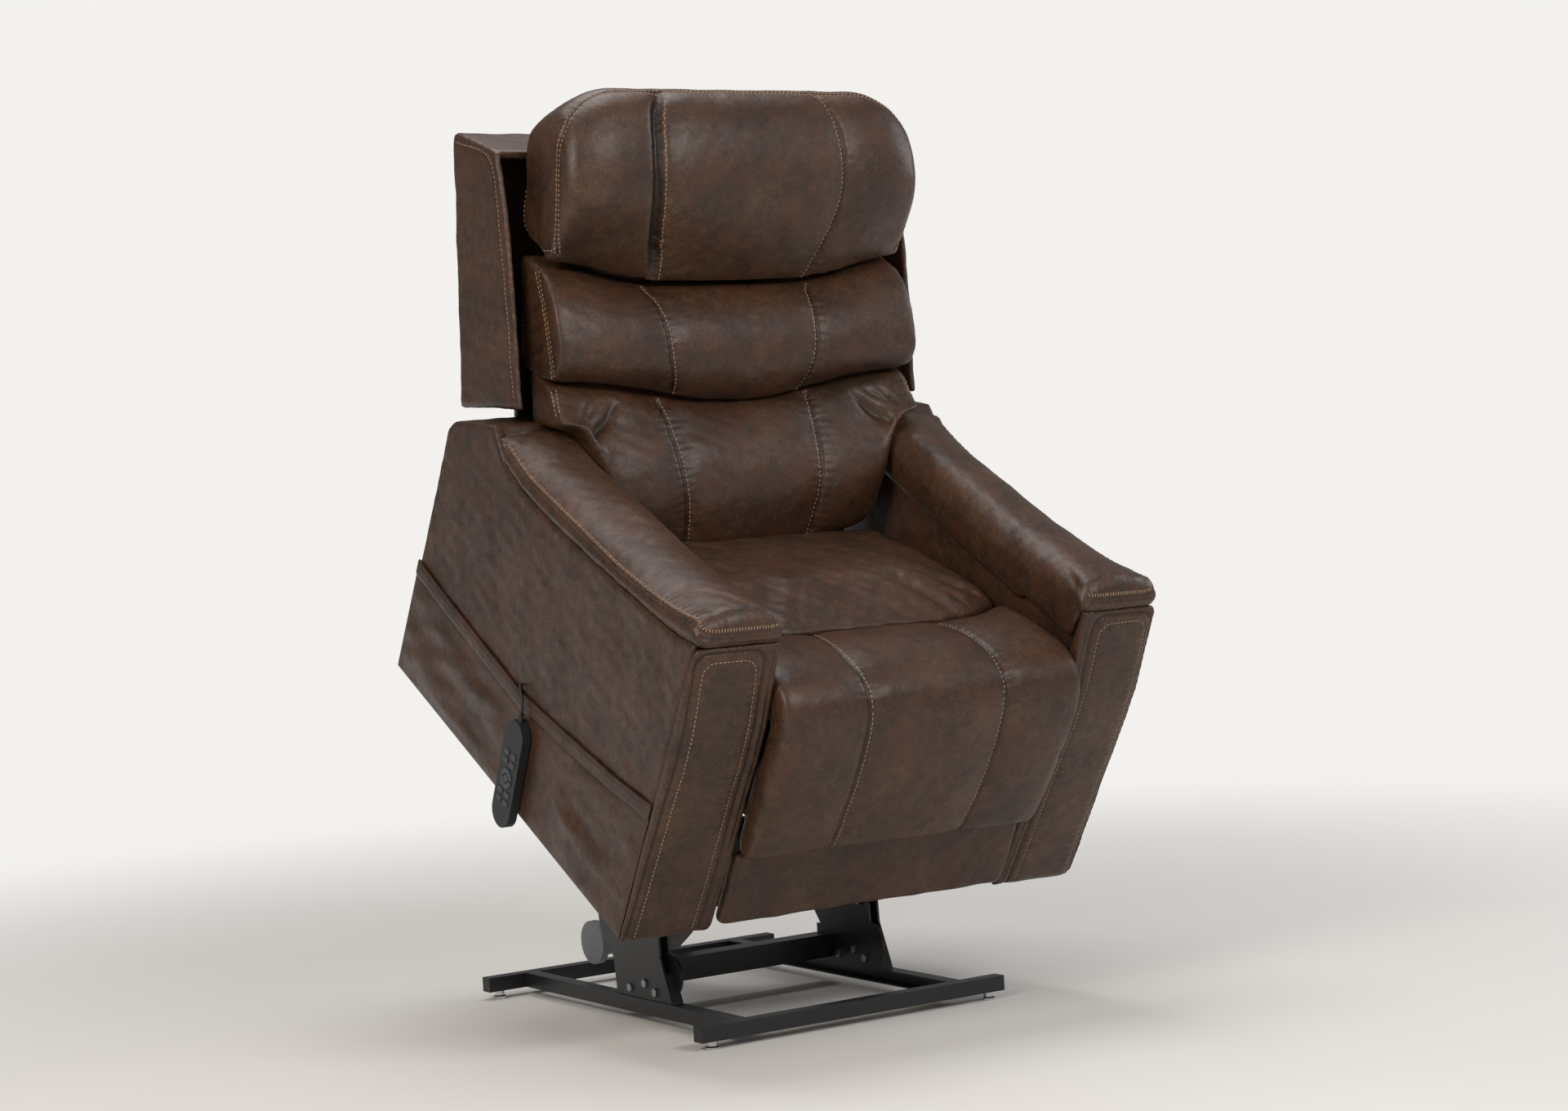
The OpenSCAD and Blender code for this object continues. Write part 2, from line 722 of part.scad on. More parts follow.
// Two uprights and their cross tubes, the recline lugs and the arms that hold the shell.
module back_frame() {
  tube_low = back_pivot + turn([0, 40], -back_lean);
  color(steel) {
    along_back() {
      both() difference() {
        translate([frame_x + 18, -12.5, -16]) cube([25, 25, 511]);
        rotate([0, 90, 0]) translate([0, 0, frame_x + 17]) cylinder(h = 30, r = back_pin_r + fit);
      }
      for (z = [28, 260, 470]) translate([-frame_x - 18, -12.5, z]) cube([2 * frame_x + 36, 25, 25]);
      both() for (z = [180, 400]) translate([frame_x + 38, 12.5, z]) cube([5, shell_arm, 30]);
    }
    raised() for (x = [recline_x - 17, recline_x + 13]) difference() {
      plate(x, 4) bar_outline(recline_lug, tube_low, 18);
      rod(recline_lug, 12.5, x - 1, x + 5);
    }
    raised() both() for (x = [80, 117]) plate(x, 4) bar_outline(head_pivot, head_bar, 9);
    raised() both() rod(head_pivot, 4, 79, 122);
  }
}

shell_arm = 108;
// Side outline of the outer back, in the body frame.
wing = [[682, 570], [703, 600], [754, 689], [805, 770], [864, 857], [922, 923], [1060, 896],
  [1066, 884], [864, 481]];

module back_shell() {
  lean = turn([0, 1], -26.4);
  across = [lean[1], -lean[0]];
  low = [864, 481];
  high = [1066, 888];
  centre_low = low - 200 * lean;
  color(leather) raised() {
    both() plate(shell_half - 12, 12) polygon(wing);
    plate(-shell_half + 12, 2 * shell_half - 24) polygon([low, high, high - 14 * across,
      low - 14 * across]);
    plate(-arm_in + 6, 2 * arm_in - 12) polygon([centre_low, low, low - 14 * across,
      centre_low - 14 * across]);
    plate(-shell_half + 12, 2 * shell_half - 24) polygon([[922, 923], [1060, 896], [1056, 884],
      [922, 910]]);
  }
}

// The lower cushion fills the space between the arms, and two sewn-on wings reach over them.
module lower_back_cushion() {
  profile = [[554, 404], [546, 430], [553, 480], [580, 526], [622, 565], [652, 592], [690, 602],
    [755, 602], [709, 506], [660, 404]];
  pole = [662, 500];
  color(leather) raised() {
    back_pad(profile, pole, [
      [0, 0.78, 1, 1.01, 1, 0],
      [70, 0.8, 1, 1.01, 1, 0],
      [129, 0.86, 1, 1, 1, 0],
      [140, 0.88, 0.99, 0.965, 1, 0],
      [151, 0.9, 1, 1, 1, 0],
      [230, 0.98, 0.98, 0.98, 1, 0],
      [268, 1, 0.93, 0.94, 1, 2],
      [288, 0.95, 0.84, 0.88, 0.9, 4],
      [297, 0.85, 0.7, 0.8, 0.7, 8]]);
    both() loft([for (s = [
      [297.3, 0.48, 0.06, 0.85, 0.22, 69],
      [335, 0.48, 0.06, 0.84, 0.22, 69],
      [349, 0.46, 0.05, 0.76, 0.2, 70],
      [back_half, 0.34, 0.02, 0.6, 0.15, 74]]) back_ring(profile, pole, s, 1)]);
  }
}

// Its lower edge rises towards both ends, in line with the headrest's.
module upper_back_cushion() {
  profile = [[668, 604], [654, 622], [650, 655], [662, 688], [682, 714], [712, 736], [745, 746],
    [790, 746], [828, 738], [801, 690], [758, 604]];
  color(leather) raised() back_pad(profile, [720, 670], [
    [0, 1, 1.28, 1.01, 1, 0],
    [70, 1, 1.24, 1.01, 1, 0],
    [134, 1.02, 1.1, 1, 1, 0],
    [145, 1.02, 1.08, 0.965, 1, 0],
    [156, 1.03, 1.05, 1, 1, 0],
    [230, 1.15, 0.86, 1, 0.6, 0],
    [290, 1.32, 0.76, 0.98, 0.58, 0],
    [330, 1.36, 0.7, 0.955, 0.58, 0],
    [349, 1.32, 0.66, 0.88, 0.56, 0],
    [back_half, 1.15, 0.55, 0.74, 0.5, 0]]);
}

module headrest_bracket() {
  color(steel) raised() both() difference() {
    union() {
      plate(85, 31) polygon([[787, 751], [798, 753], [838, 780], [896, 900], [887, 905],
        [829, 789], [795, 768],
        [787, 768]]);
      rod(head_pivot, 9, 85, 116);
    }
    rod(head_pivot, 4 + fit, 84, 117);
  }
}

module headrest_cushion() {
  profile = [[772, 774], [768, 764], [756, 764], [745, 790], [736, 850], [736, 915], [752, 965],
    [790, 1020], [830, 1054], [868, 1062], [898, 1048], [910, 1010], [908, 960], [886, 907],
    [828, 790]];
  color(leather) raised() back_pad(profile, [820, 900], [
    [0, 1, 1, 1.01, 1.014, 0],
    [90, 1, 0.99, 1.01, 1.014, 0],
    [166, 1, 0.97, 1, 1.014, 0],
    [178, 0.99, 0.95, 0.94, 1, 0],
    [190, 1, 0.94, 1, 1, 0],
    [254, 0.99, 0.88, 0.99, 1, 0],
    [290, 0.96, 0.82, 0.98, 0.99, 0],
    [318, 0.86, 0.79, 0.96, 0.97, 0],
    [338, 0.72, 0.76, 0.92, 0.94, 0],
    [349, 0.58, 0.7, 0.86, 0.88, 0],
    [back_half - 1, 0.46, 0.6, 0.78, 0.8, 0]]);
}

// Sliding bars under the seat, their front uprights, the actuator's rod and the footrest's hinge pins.
module footrest_carriage() {
  bar_x = 214;
  upright = [[62, 245], [62, 265], [46, 268], [40, 340], [28, 368], [20, 374], [10, 374],
    [3, 364], [6, 330],
    [20, 250], [26, 245]];
  color(steel) raised() {
    both() {
      translate([bar_x, 62, 245]) cube([14, 268, 20]);
      plate(bar_x, 14) polygon(upright);
      rod(flip_pivot, 6, bar_x, bar_x + 25);
    }
    translate([-bar_x, 310, 245]) cube([2 * bar_x, 20, 20]);
    translate([footrest_x, 330, 254]) rotate([-90, 0, 0]) cylinder(h = 240, r = 8);
  }
}

module footrest_board() {
  color(wood) raised() {
    translate([-258, -9, 168]) cube([516, 12, 180]);
    both() difference() {
      plate(232, 5) polygon([[3, 300], [18, 330], [26, 352], [24, 370], [14, 374], [3, 370], [3, 348]]);
      rod(flip_pivot, 6 + fit, 231, 238);
    }
  }
}

// The pad hangs in front of its board; its top is mitred to meet the bolster.
module footrest_pad() {
  profile = [[-9, 166], [-30, 160], [-44, 164], [-54, 205], [-60, 250], [-65, 310], [-66, 370],
    [-60, 412],
    [-54, 430], [-12, 404], [-9, 370]];
  color(leather) raised() cushion(profile, [-9, 280], 272, [
    [-1, 0.8], [-0.985, 0.9], [-0.93, 0.97], [-0.8, 0.99], [-0.5, 1], [-0.465, 0.965],
    [-0.43, 1], [-0.15, 1],
    [0.15, 1], [0.43, 1], [0.465, 0.965], [0.5, 1], [0.8, 0.99], [0.93, 0.97], [0.985, 0.9], [1, 0.8]]);
}

// Handset cord, in the body frame: out of the arm, twice round in the pocket, out over the hem and down.
cord_r = cord_d / 2;
coil_at = [440, 48.5];
coil_in = 22;
coil_pitch = 5.6;
coil_turns = [2, 1.5];
coil_x = [-431.9, -437.5];
coil_steps = 24;
handset_at = [397, 174];
handset_lean = -4.3;
handset_back = arm_out + 1.2;
boot_l = 12;
boot_r = 3;
key_rise = 1.6;
key_t = 3;
recess = 2.4;
key_gap = 0.3;

cord_in = [[-406, 574, 157], [-411, 567, 154], [-417, 558, 150.5], [-423, 549.5, 147],
  [-428, 541, 143.5],
  [-431, 531.5, 139], [-431.9, 521, 132.5], [-431.9, 509.5, 123.5], [-431.9, 498.5, 112],
  [-431.9, 488.5, 98],
  [-431.9, 480.5, 82], [-431.9, 475, 65], [-431.9, 473.2, 48.5]];
cord_out = [[-437.5, 409.6, 48.5], [-437.5, 409.8, 64], [-437.5, 411.5, 80], [-437.4, 414.5, 96],
  [-437.2, 418.5, 112], [-437, 423, 128], [-436.8, 427.5, 144], [-436.6, 432, 159], [-436.5, 436, 172],
  [-436.8, 439, 184], [-437.8, 440, 195], [-440.5, 438, 203.5], [-444.5, 433.5, 207.5],
  [-448, 427.5, 206.5],
  [-449.5, 421.5, 203], [-450.5, 415, 199], [-451.8, 408.5, 194.5], [-453, 402.5, 188.5],
  [-453.6, 398.8, 182.5],
  [-453.7, 397.3, 177.3]];

// Radius and X of the coil after t turns: inwards in the first layer, outwards in the second.
function coil_r(t) = coil_in + coil_pitch * abs(coil_turns[0] - t);
function coil_share(t) = max(0, min(1, (t - coil_turns[0]) * 2.5 + 0.5));
function coil_point(t) = [coil_x[0] + (coil_x[1] - coil_x[0]) * coil_share(t),
  coil_at[0] + coil_r(t) * cos(360 * t), coil_at[1] - coil_r(t) * sin(360 * t)];
coil_route = [for (i = [0:coil_steps * sum(coil_turns)]) coil_point(i / coil_steps)];
coil_gap = min([for (i = [0:len(coil_route) - 1], j = [0:len(coil_route) - 1])
  if (j > i + coil_steps / 2) norm(coil_route[i] - coil_route[j])]) - cord_d;
cord_length = sum([for (r = [cord_in, coil_route, cord_out], i = [1:len(r) - 1]) norm(r[i] - r[i - 1])]);
echo(least_gap_in_the_coil = coil_gap, handset_cord_length = cord_length);

// A tube through a route, with the ways that its two end faces look.
module tube(route, r, sides, first, last) {
  n = len(route);
  function way(i) = i == 0 ? first : i == n - 1 ? last : unit(route[i + 1] - route[i - 1]);
  loft([for (i = [0:n - 1]) let (t = way(i), a = unit(cross(t, [1, 0, 0])), b = cross(t, a))
    [for (k = [0:sides - 1]) route[i] + r * (cos(360 * k / sides) * a + sin(360 * k / sides) * b)]]);
}

module handset_cord() {
  color("#1a1a1c") raised() {
    tube(cord_in, cord_r, 8, unit(cord_in[1] - cord_in[0]), [0, 0, -1]);
    tube(cord_out, cord_r, 8, [0, 0, 1], [0, sin(handset_lean), -cos(handset_lean)]);
  }
}

module handset_cord_coil() {
  color("#1a1a1c") raised() tube(coil_route, cord_r, 6, [0, 0, -1], [0, 0, 1]);
}

// Places the handset: it hangs along its own -Z from the end of the cord, its back face at X = 0.
module on_handset() {
  raised() translate([-handset_back, handset_at[0], handset_at[1]]) rotate([handset_lean, 0,
    0]) children();
}

// Round-ended outline across the handset.
module pill(at, w, h) {
  r = h / 2;
  translate(at) {
    square([w - h, h], center = true);
    for (x = [r - w / 2, w / 2 - r]) translate([x, 0]) circle(r);
  }
}

// Half of the ring of keys: side is 1 above and -1 below.
module half_ring(at, side, grow) {
  translate(at) mirror([0, side < 0 ? 1 : 0]) intersection() {
    difference() {
      circle(17 + grow);
      circle(9 - grow);
    }
    translate([-20, 1.5 - grow]) square([40, 20]);
  }
}

keys_down = boot_l + 60;
ring_at = [0, -boot_l - 104];
small_keys = [for (z = [0, -15, -70, -85], y = [-11, 11]) [y, z - keys_down]];

module key_outline(i, grow) {
  if (i < 8) pill(small_keys[i], 15 + 2 * grow, 9 + 2 * grow);
  if (i == 8) half_ring(ring_at, 1, grow);
  if (i == 9) half_ring(ring_at, -1, grow);
  if (i == 10) translate(ring_at) circle(6.5 + grow);
}

module handset_shell() {
  color("#2b2c2e") on_handset() difference() {
    union() {
      plate(-handset_t, handset_t) {
        translate([0, -boot_l - handset_l / 2]) rotate(90) pill([0, 0], handset_l, handset_w);
      }
      rod([0, 0], boot_r, -handset_t / 2 - 3, -handset_t / 2 + 3);
      translate([-handset_t / 2, 0, -boot_l - 1]) cylinder(h = boot_l + 1, r1 = 5.5, r2 = boot_r);
    }
    for (i = [0:10]) plate(-handset_t - 1, recess + 1) key_outline(i, key_gap);
  }
}

module key(i) {
  color("#3b3c3f") on_handset() plate(-handset_t - key_rise, key_t) key_outline(i, 0);
}

module upper_key_1() { key(0); }
module upper_key_2() { key(1); }
module upper_key_3() { key(2); }
module upper_key_4() { key(3); }
module ring_key_up() { key(8); }
module ring_key_down() { key(9); }
module ring_key_centre() { key(10); }
module lower_key_1() { key(4); }
module lower_key_2() { key(5); }
module lower_key_3() { key(6); }
module lower_key_4() { key(7); }

front_crossbar();
rear_crossbar();
side_rails();
base_cross_tube();
crossbar_end_caps();
glide_feet();
lift_bracket_left();
lift_bracket_right();
lift_fasteners();
front_lift_links();
rear_lift_links();
lift_actuator_housing();
lift_motor();
lift_actuator_rod();
riser_plates();
chassis_pins();
seat_frame();
seat_deck();
arm_mounts();
power_supply();
arm_frame_left();
arm_frame_right();
side_panel_left();
side_panel_right();
inner_panels();
arm_pad_left();
arm_pad_right();
front_panel_left();
front_panel_right();
lower_front_rail();
rear_apron();
side_pocket();
seat_cushion();
seat_bolster();
recline_actuator_housing();
recline_actuator_rod();
footrest_actuator();
back_frame();
back_shell();
lower_back_cushion();
upper_back_cushion();
headrest_bracket();
headrest_cushion();
footrest_carriage();
footrest_board();
footrest_pad();
handset_cord();
handset_cord_coil();
handset_shell();
upper_key_1();
upper_key_2();
upper_key_3();
upper_key_4();
ring_key_up();
ring_key_down();
ring_key_centre();
lower_key_1();
lower_key_2();
lower_key_3();
lower_key_4();
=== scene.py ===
import math

import bpy
import numpy as np
from mathutils import Matrix, Vector
from mathutils.bvhtree import BVHTree


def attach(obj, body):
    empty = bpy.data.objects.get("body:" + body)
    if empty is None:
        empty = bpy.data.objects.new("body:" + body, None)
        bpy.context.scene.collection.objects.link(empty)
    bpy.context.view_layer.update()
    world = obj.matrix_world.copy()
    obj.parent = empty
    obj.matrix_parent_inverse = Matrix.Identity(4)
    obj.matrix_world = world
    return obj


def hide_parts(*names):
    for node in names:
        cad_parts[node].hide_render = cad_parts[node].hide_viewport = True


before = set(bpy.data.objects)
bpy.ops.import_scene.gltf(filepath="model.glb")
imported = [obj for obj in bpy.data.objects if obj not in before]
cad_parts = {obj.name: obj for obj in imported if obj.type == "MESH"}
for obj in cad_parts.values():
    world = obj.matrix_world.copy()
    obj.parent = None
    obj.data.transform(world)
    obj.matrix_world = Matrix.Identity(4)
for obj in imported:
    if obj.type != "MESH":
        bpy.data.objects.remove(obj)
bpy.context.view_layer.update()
scene = bpy.context.scene

# Place of the upholstered body's level frame, in metres, raised on its lift by 30 degrees.
RAISED = Matrix.Translation((0, -0.2296, 0.1887)) @ Matrix.Rotation(math.radians(30), 4, "X")

# Directions up along the leaning back and out of its front, and the point they are measured from (y, z in mm).
LEAN = math.radians(26.4)
UP = np.array([math.sin(LEAN), math.cos(LEAN)])
OUT = np.array([-math.cos(LEAN), math.sin(LEAN)])
BACK_POLE = np.array([662.0, 500.0])


# ---------------------------------------------------------------- camera

# Where the camera stands, in metres, which way it looks from the chair, in degrees, and its lens.
CAMERA_AT = (-2.925, -4.4804, 0.9655)
CAMERA_AZIMUTH, CAMERA_ELEVATION, CAMERA_ROLL = -33.5779, 2.1826, -3.1463
CAMERA_LENS_MM, CAMERA_SENSOR_MM = 73.517, 36


def set_camera():
    data = bpy.data.cameras.new("camera")
    data.lens = CAMERA_LENS_MM
    data.sensor_width = CAMERA_SENSOR_MM
    data.sensor_fit = "HORIZONTAL"
    camera = bpy.data.objects.new("camera", data)
    az, el, roll = (math.radians(a) for a in (CAMERA_AZIMUTH, CAMERA_ELEVATION, CAMERA_ROLL))
    back = Vector((math.sin(az) * math.cos(el), -math.cos(az) * math.cos(el), math.sin(el)))
    right = (-back).cross(Vector((0, 0, 1))).normalized()
    up = right.cross(-back)
    x = math.cos(roll) * right + math.sin(roll) * up
    y = -math.sin(roll) * right + math.cos(roll) * up
    camera.matrix_world = Matrix([(x[k], y[k], back[k], CAMERA_AT[k]) for k in range(3)] + [(0, 0, 0, 1)])
    scene.collection.objects.link(camera)
    scene.camera = camera


set_camera()


# ---------------------------------------------------------------- small tools

def colour(hexa):
    """An sRGB hex value as linear RGBA."""
    parts = [int(hexa[i:i + 2], 16) / 255 for i in (1, 3, 5)]
    return tuple(c / 12.92 if c <= 0.04045 else ((c + 0.055) / 1.055) ** 2.4 for c in parts) + (1.0,)


def put(tree, kind, inputs=(), **settings):
    """Adds a node with its settings, values and links. A node given as a value links its first live output."""
    made = tree.nodes.new(kind)
    for name, value in settings.items():
        setattr(made, name, value)
    for name, value in dict(inputs).items():
        socket = made.inputs[name] if isinstance(name, int) else next(
            s for s in made.inputs if s.name == name and s.enabled)
        if isinstance(value, bpy.types.Node):
            value = next(s for s in value.outputs if s.enabled)
        if isinstance(value, bpy.types.NodeSocket):
            tree.links.new(value, socket)
        else:
            socket.default_value = value
    return made


def only(piece):
    """Selects this piece alone, for the operators."""
    bpy.ops.object.select_all(action="DESELECT")
    piece.select_set(True)
    bpy.context.view_layer.objects.active = piece


def apply(piece, kind, **settings):
    """Adds a modifier to the piece and applies it."""
    only(piece)
    made = piece.modifiers.new("shape", kind)
    for name, value in settings.items():
        setattr(made, name, value)
    bpy.ops.object.modifier_apply(modifier=made.name)


def mesh_piece(name, points, faces):
    """A new piece at the origin from points in metres and faces of their numbers."""
    mesh = bpy.data.meshes.new(name)
    mesh.from_pydata([tuple(p) for p in points], [], [tuple(f) for f in faces])
    mesh.update()
    piece = bpy.data.objects.new(name, mesh)
    scene.collection.objects.link(piece)
    return piece


def recalc(piece):
    """Turns all of a closed piece's faces outwards."""
    only(piece)
    bpy.ops.object.mode_set(mode="EDIT")
    bpy.ops.mesh.select_all(action="SELECT")
    bpy.ops.mesh.normals_make_consistent(inside=False)
    bpy.ops.object.mode_set(mode="OBJECT")


def points_of(piece):
    """The piece's points, one per row."""
    co = np.zeros(len(piece.data.vertices) * 3, np.float32)
    piece.data.vertices.foreach_get("co", co)
    return co.reshape(-1, 3).astype(float)


def set_points(piece, co):
    piece.data.vertices.foreach_set("co", np.ascontiguousarray(co, np.float32).ravel())
    piece.data.update()


def normals_of(piece):
    n = np.zeros(len(piece.data.vertices) * 3, np.float32)
    piece.data.vertices.foreach_get("normal", n)
    return n.reshape(-1, 3).astype(float)


def ring_loft(name, rings):
    """A closed solid through rings of as many points each, its ends closed by smaller and smaller rings."""
    rings = [np.asarray(r, float) for r in rings]
    for end in (0, -1):
        mid = rings[end].mean(0)
        more = [mid + (rings[end] - mid) * s for s in (0.8, 0.55, 0.3)]
        rings = more[::-1] + rings if end == 0 else rings + more
    m = len(rings[0])
    n = len(rings)
    points = np.concatenate(rings + [rings[0].mean(0)[None], rings[-1].mean(0)[None]])
    faces = [(i * m + j, i * m + (j + 1) % m, (i + 1) * m + (j + 1) % m, (i + 1) * m + j)
             for i in range(n - 1) for j in range(m)]
    faces += [(n * m, (j + 1) % m, j) for j in range(m)]
    faces += [(n * m + 1, (n - 1) * m + j, (n - 1) * m + (j + 1) % m) for j in range(m)]
    piece = mesh_piece(name, points, faces)
    recalc(piece)
    return piece


def spline(points, step, closed=False):
    """Points at even steps along a smooth curve through the given ones."""
    p = np.asarray(points, float)
    n = len(p)
    out = []
    last = n if closed else n - 1
    for i in range(last):
        if closed:
            a, b, c, d = p[(i - 1) % n], p[i], p[(i + 1) % n], p[(i + 2) % n]
        else:
            a, b, c, d = p[max(i - 1, 0)], p[i], p[i + 1], p[min(i + 2, n - 1)]
        la, lb, lc = (max(np.linalg.norm(v), 1e-9) ** 0.5 for v in (b - a, c - b, d - c))
        m1 = (c - b) + lb * ((b - a) / la - (c - a) / (la + lb)) if la > 1e-4 else c - b
        m2 = (c - b) + lb * ((d - c) / lc - (d - b) / (lc + lb)) if lc > 1e-4 else c - b
        t = np.linspace(0, 1, 17)[:-1, None]
        out.append((2 * t**3 - 3 * t**2 + 1) * b + (t**3 - 2 * t**2 + t) * m1
                   + (-2 * t**3 + 3 * t**2) * c + (t**3 - t**2) * m2)
    out.append(p[:1] if closed else p[-1:])
    q = np.concatenate(out)
    way = np.concatenate([[0], np.cumsum(np.linalg.norm(np.diff(q, axis=0), axis=1))])
    count = max(int(round(way[-1] / step)), 2)
    at = np.linspace(0, way[-1], count + 1)
    even = np.stack([np.interp(at, way, q[:, k]) for k in range(q.shape[1])], 1)
    return even[:-1] if closed else even


def noise(co, size, seed):
    """Smooth noise from -1 to 1 with features of about that size, from a few turned sine waves."""
    made = np.random.default_rng(seed)
    total = np.zeros(len(co))
    for _ in range(7):
        way = made.normal(size=3)
        way *= made.uniform(0.6, 1.5) / np.linalg.norm(way) * 2 * math.pi / size
        total += np.sin(co @ way + made.uniform(0, 6.3))
    return total / 3.5


# ---------------------------------------------------------------- materials

def bare_tree(owner):
    """The empty node tree of a new material or world."""
    owner.use_nodes = True
    owner.node_tree.nodes.clear()
    return owner.node_tree


def leather_material(name, low, mid, high, warm, shine=0.43):
    """Faux leather: a coated cloth, printed in blotches and rubbed paler, with a fine pebbled grain."""
    made = bpy.data.materials.new(name)
    tree = bare_tree(made)
    place = put(tree, "ShaderNodeTexCoord").outputs["Object"]
    # Blotches of the print are 60 to 150 mm wide, its clouding 15 mm and its speckle 3 mm.
    broad = put(tree, "ShaderNodeTexNoise", {"Vector": place, "Scale": 9, "Detail": 5, "Roughness": 0.6})
    cloud = put(tree, "ShaderNodeTexNoise", {"Vector": place, "Scale": 55, "Detail": 5, "Roughness": 0.7})
    speck = put(tree, "ShaderNodeTexNoise", {"Vector": place, "Scale": 330, "Detail": 3, "Roughness": 0.75})
    rub = put(tree, "ShaderNodeTexNoise", {"Vector": place, "Scale": 14, "Detail": 7, "Roughness": 0.72,
                                           "Distortion": 0.6})
    soft = put(tree, "ShaderNodeMix", {"Factor": 0.5, "A": broad, "B": cloud})
    tone = put(tree, "ShaderNodeMix", {"Factor": 0.4, "A": soft, "B": speck})
    ramp = put(tree, "ShaderNodeValToRGB", {"Fac": tone})
    stops = ramp.color_ramp.elements
    stops[0].position, stops[0].color = 0.4, colour(low)
    stops[1].position, stops[1].color = 0.61, colour(high)
    stops.new(0.5).color = colour(mid)
    red = put(tree, "ShaderNodeMapRange", {"Value": rub, "From Min": 0.47, "From Max": 0.66,
                                           "To Min": 0.0, "To Max": 0.65})
    base = put(tree, "ShaderNodeMix", {"Factor": red, "A": ramp, "B": colour(warm)}, data_type="RGBA")
    # Painted shade: folds and seam grooves are darkened towards near black by the piece's own fold attribute.
    fold = put(tree, "ShaderNodeAttribute", attribute_name="fold")
    deep = put(tree, "ShaderNodeMapRange", {"Value": fold.outputs["Fac"], "To Max": 0.85})
    body = put(tree, "ShaderNodeMix", {"Factor": deep, "A": base, "B": colour("#100a07")}, data_type="RGBA")
    # Pebbles of the embossed grain are about 1.5 mm, its creases 5 mm, and the padding's waves 40 mm.
    pebble = put(tree, "ShaderNodeTexVoronoi", {"Vector": place, "Scale": 620}, feature="SMOOTH_F1")
    crease = put(tree, "ShaderNodeTexNoise", {"Vector": place, "Scale": 190, "Detail": 5, "Roughness": 0.65,
                                              "Distortion": 0.8})
    sag = put(tree, "ShaderNodeTexNoise", {"Vector": place, "Scale": 26, "Detail": 3, "Roughness": 0.5})
    rough = put(tree, "ShaderNodeMapRange", {"Value": cloud, "From Min": 0.3, "From Max": 0.7,
                                             "To Min": shine + 0.06, "To Max": shine - 0.05})
    grain = put(tree, "ShaderNodeBump", {"Height": pebble, "Strength": 0.35, "Distance": 0.0004})
    lines = put(tree, "ShaderNodeBump", {"Height": crease, "Strength": 0.5, "Distance": 0.0008, "Normal": grain})
    waves = put(tree, "ShaderNodeBump", {"Height": sag, "Strength": 0.35, "Distance": 0.006, "Normal": lines})
    skin = put(tree, "ShaderNodeBsdfPrincipled", {
        "Base Color": body, "Roughness": rough, "Normal": waves, "IOR": 1.5,
        "Specular IOR Level": 0.38, "Coat Weight": 0.1, "Coat Roughness": 0.3})
    put(tree, "ShaderNodeOutputMaterial", {"Surface": skin})
    return made


def plain_material(name, first, second, size_mm, rough, metal=0.0, bump_mm=0.0, spread=0.08, **constants):
    """A hard surface whose tone and gloss vary over patches of one size, with a texture of its own depth."""
    made = bpy.data.materials.new(name)
    tree = bare_tree(made)
    place = put(tree, "ShaderNodeTexCoord").outputs["Object"]
    fine = put(tree, "ShaderNodeTexNoise", {"Vector": place, "Scale": 1000 / size_mm, "Detail": 4, "Roughness": 0.6})
    broad = put(tree, "ShaderNodeTexNoise", {"Vector": place, "Scale": 12, "Detail": 3})
    tone = put(tree, "ShaderNodeMix", {"Factor": 0.5, "A": fine, "B": broad})
    ramp = put(tree, "ShaderNodeMapRange", {"Value": tone, "From Min": 0.35, "From Max": 0.65})
    base = put(tree, "ShaderNodeMix", {"Factor": ramp, "A": colour(first), "B": colour(second)}, data_type="RGBA")
    gloss = put(tree, "ShaderNodeMapRange", {"Value": tone, "From Min": 0.3, "From Max": 0.7,
                                             "To Min": rough - spread, "To Max": rough + spread})
    values = {"Base Color": base, "Roughness": gloss, "Metallic": metal}
    values.update({key.replace("_", " "): value for key, value in constants.items()})
    if bump_mm:
        values["Normal"] = put(tree, "ShaderNodeBump", {"Height": fine, "Strength": 0.6, "Distance": bump_mm / 1000})
    skin = put(tree, "ShaderNodeBsdfPrincipled", values)
    put(tree, "ShaderNodeOutputMaterial", {"Surface": skin})
    return made


leather = leather_material("brushed_faux_leather", "#281910", "#3c281b", "#563c29", "#4f2d1b")
# The lining under the seat and between the arms is the same cloth, plainer and duller.
lining = leather_material("faux_leather_lining", "#1a110b", "#2f2118", "#3f2e22", "#3a2418", 0.58)
# Waxed polyester thread, twisted, tan against the brown.
thread = plain_material("waxed_tan_thread", "#b0937a", "#8c6c52", 1.2, 0.55, bump_mm=0.25)
# Powder coat: a fused plastic skin with a faint orange peel of about 2 mm.
steel = plain_material("satin_black_powder_coat", "#17181a", "#202225", 2.0, 0.36, bump_mm=0.05)
# Moulded ABS with a spark-eroded texture of about 0.6 mm.
abs_black = plain_material("moulded_black_abs", "#161719", "#1e2023", 0.6, 0.48, bump_mm=0.05)
abs_grey = plain_material("moulded_grey_abs", "#6d7074", "#7b7e82", 0.6, 0.5, bump_mm=0.05)
# Soft-touch silicone keys.
key_rubber = plain_material("soft_touch_silicone", "#3c3f43", "#4a4d52", 0.8, 0.55, bump_mm=0.03)
cord_skin = plain_material("matt_pvc_cord", "#141416", "#1c1c1f", 1.5, 0.5, bump_mm=0.05)
# Bright chrome on turned steel.
chrome = plain_material("bright_chrome", "#d9dbde", "#c9ccd0", 3.0, 0.12, metal=1.0, spread=0.05)
# Zinc plate: dull silver with a slight spangle.
zinc = plain_material("zinc_plated_steel", "#a9abad", "#8f9295", 2.5, 0.34, metal=1.0, spread=0.1, bump_mm=0.03)
# Bare plywood inside the arms.
ply = plain_material("bare_plywood", "#b08a5c", "#97723f", 6.0, 0.65, bump_mm=0.2)


# ---------------------------------------------------------------- handset cord

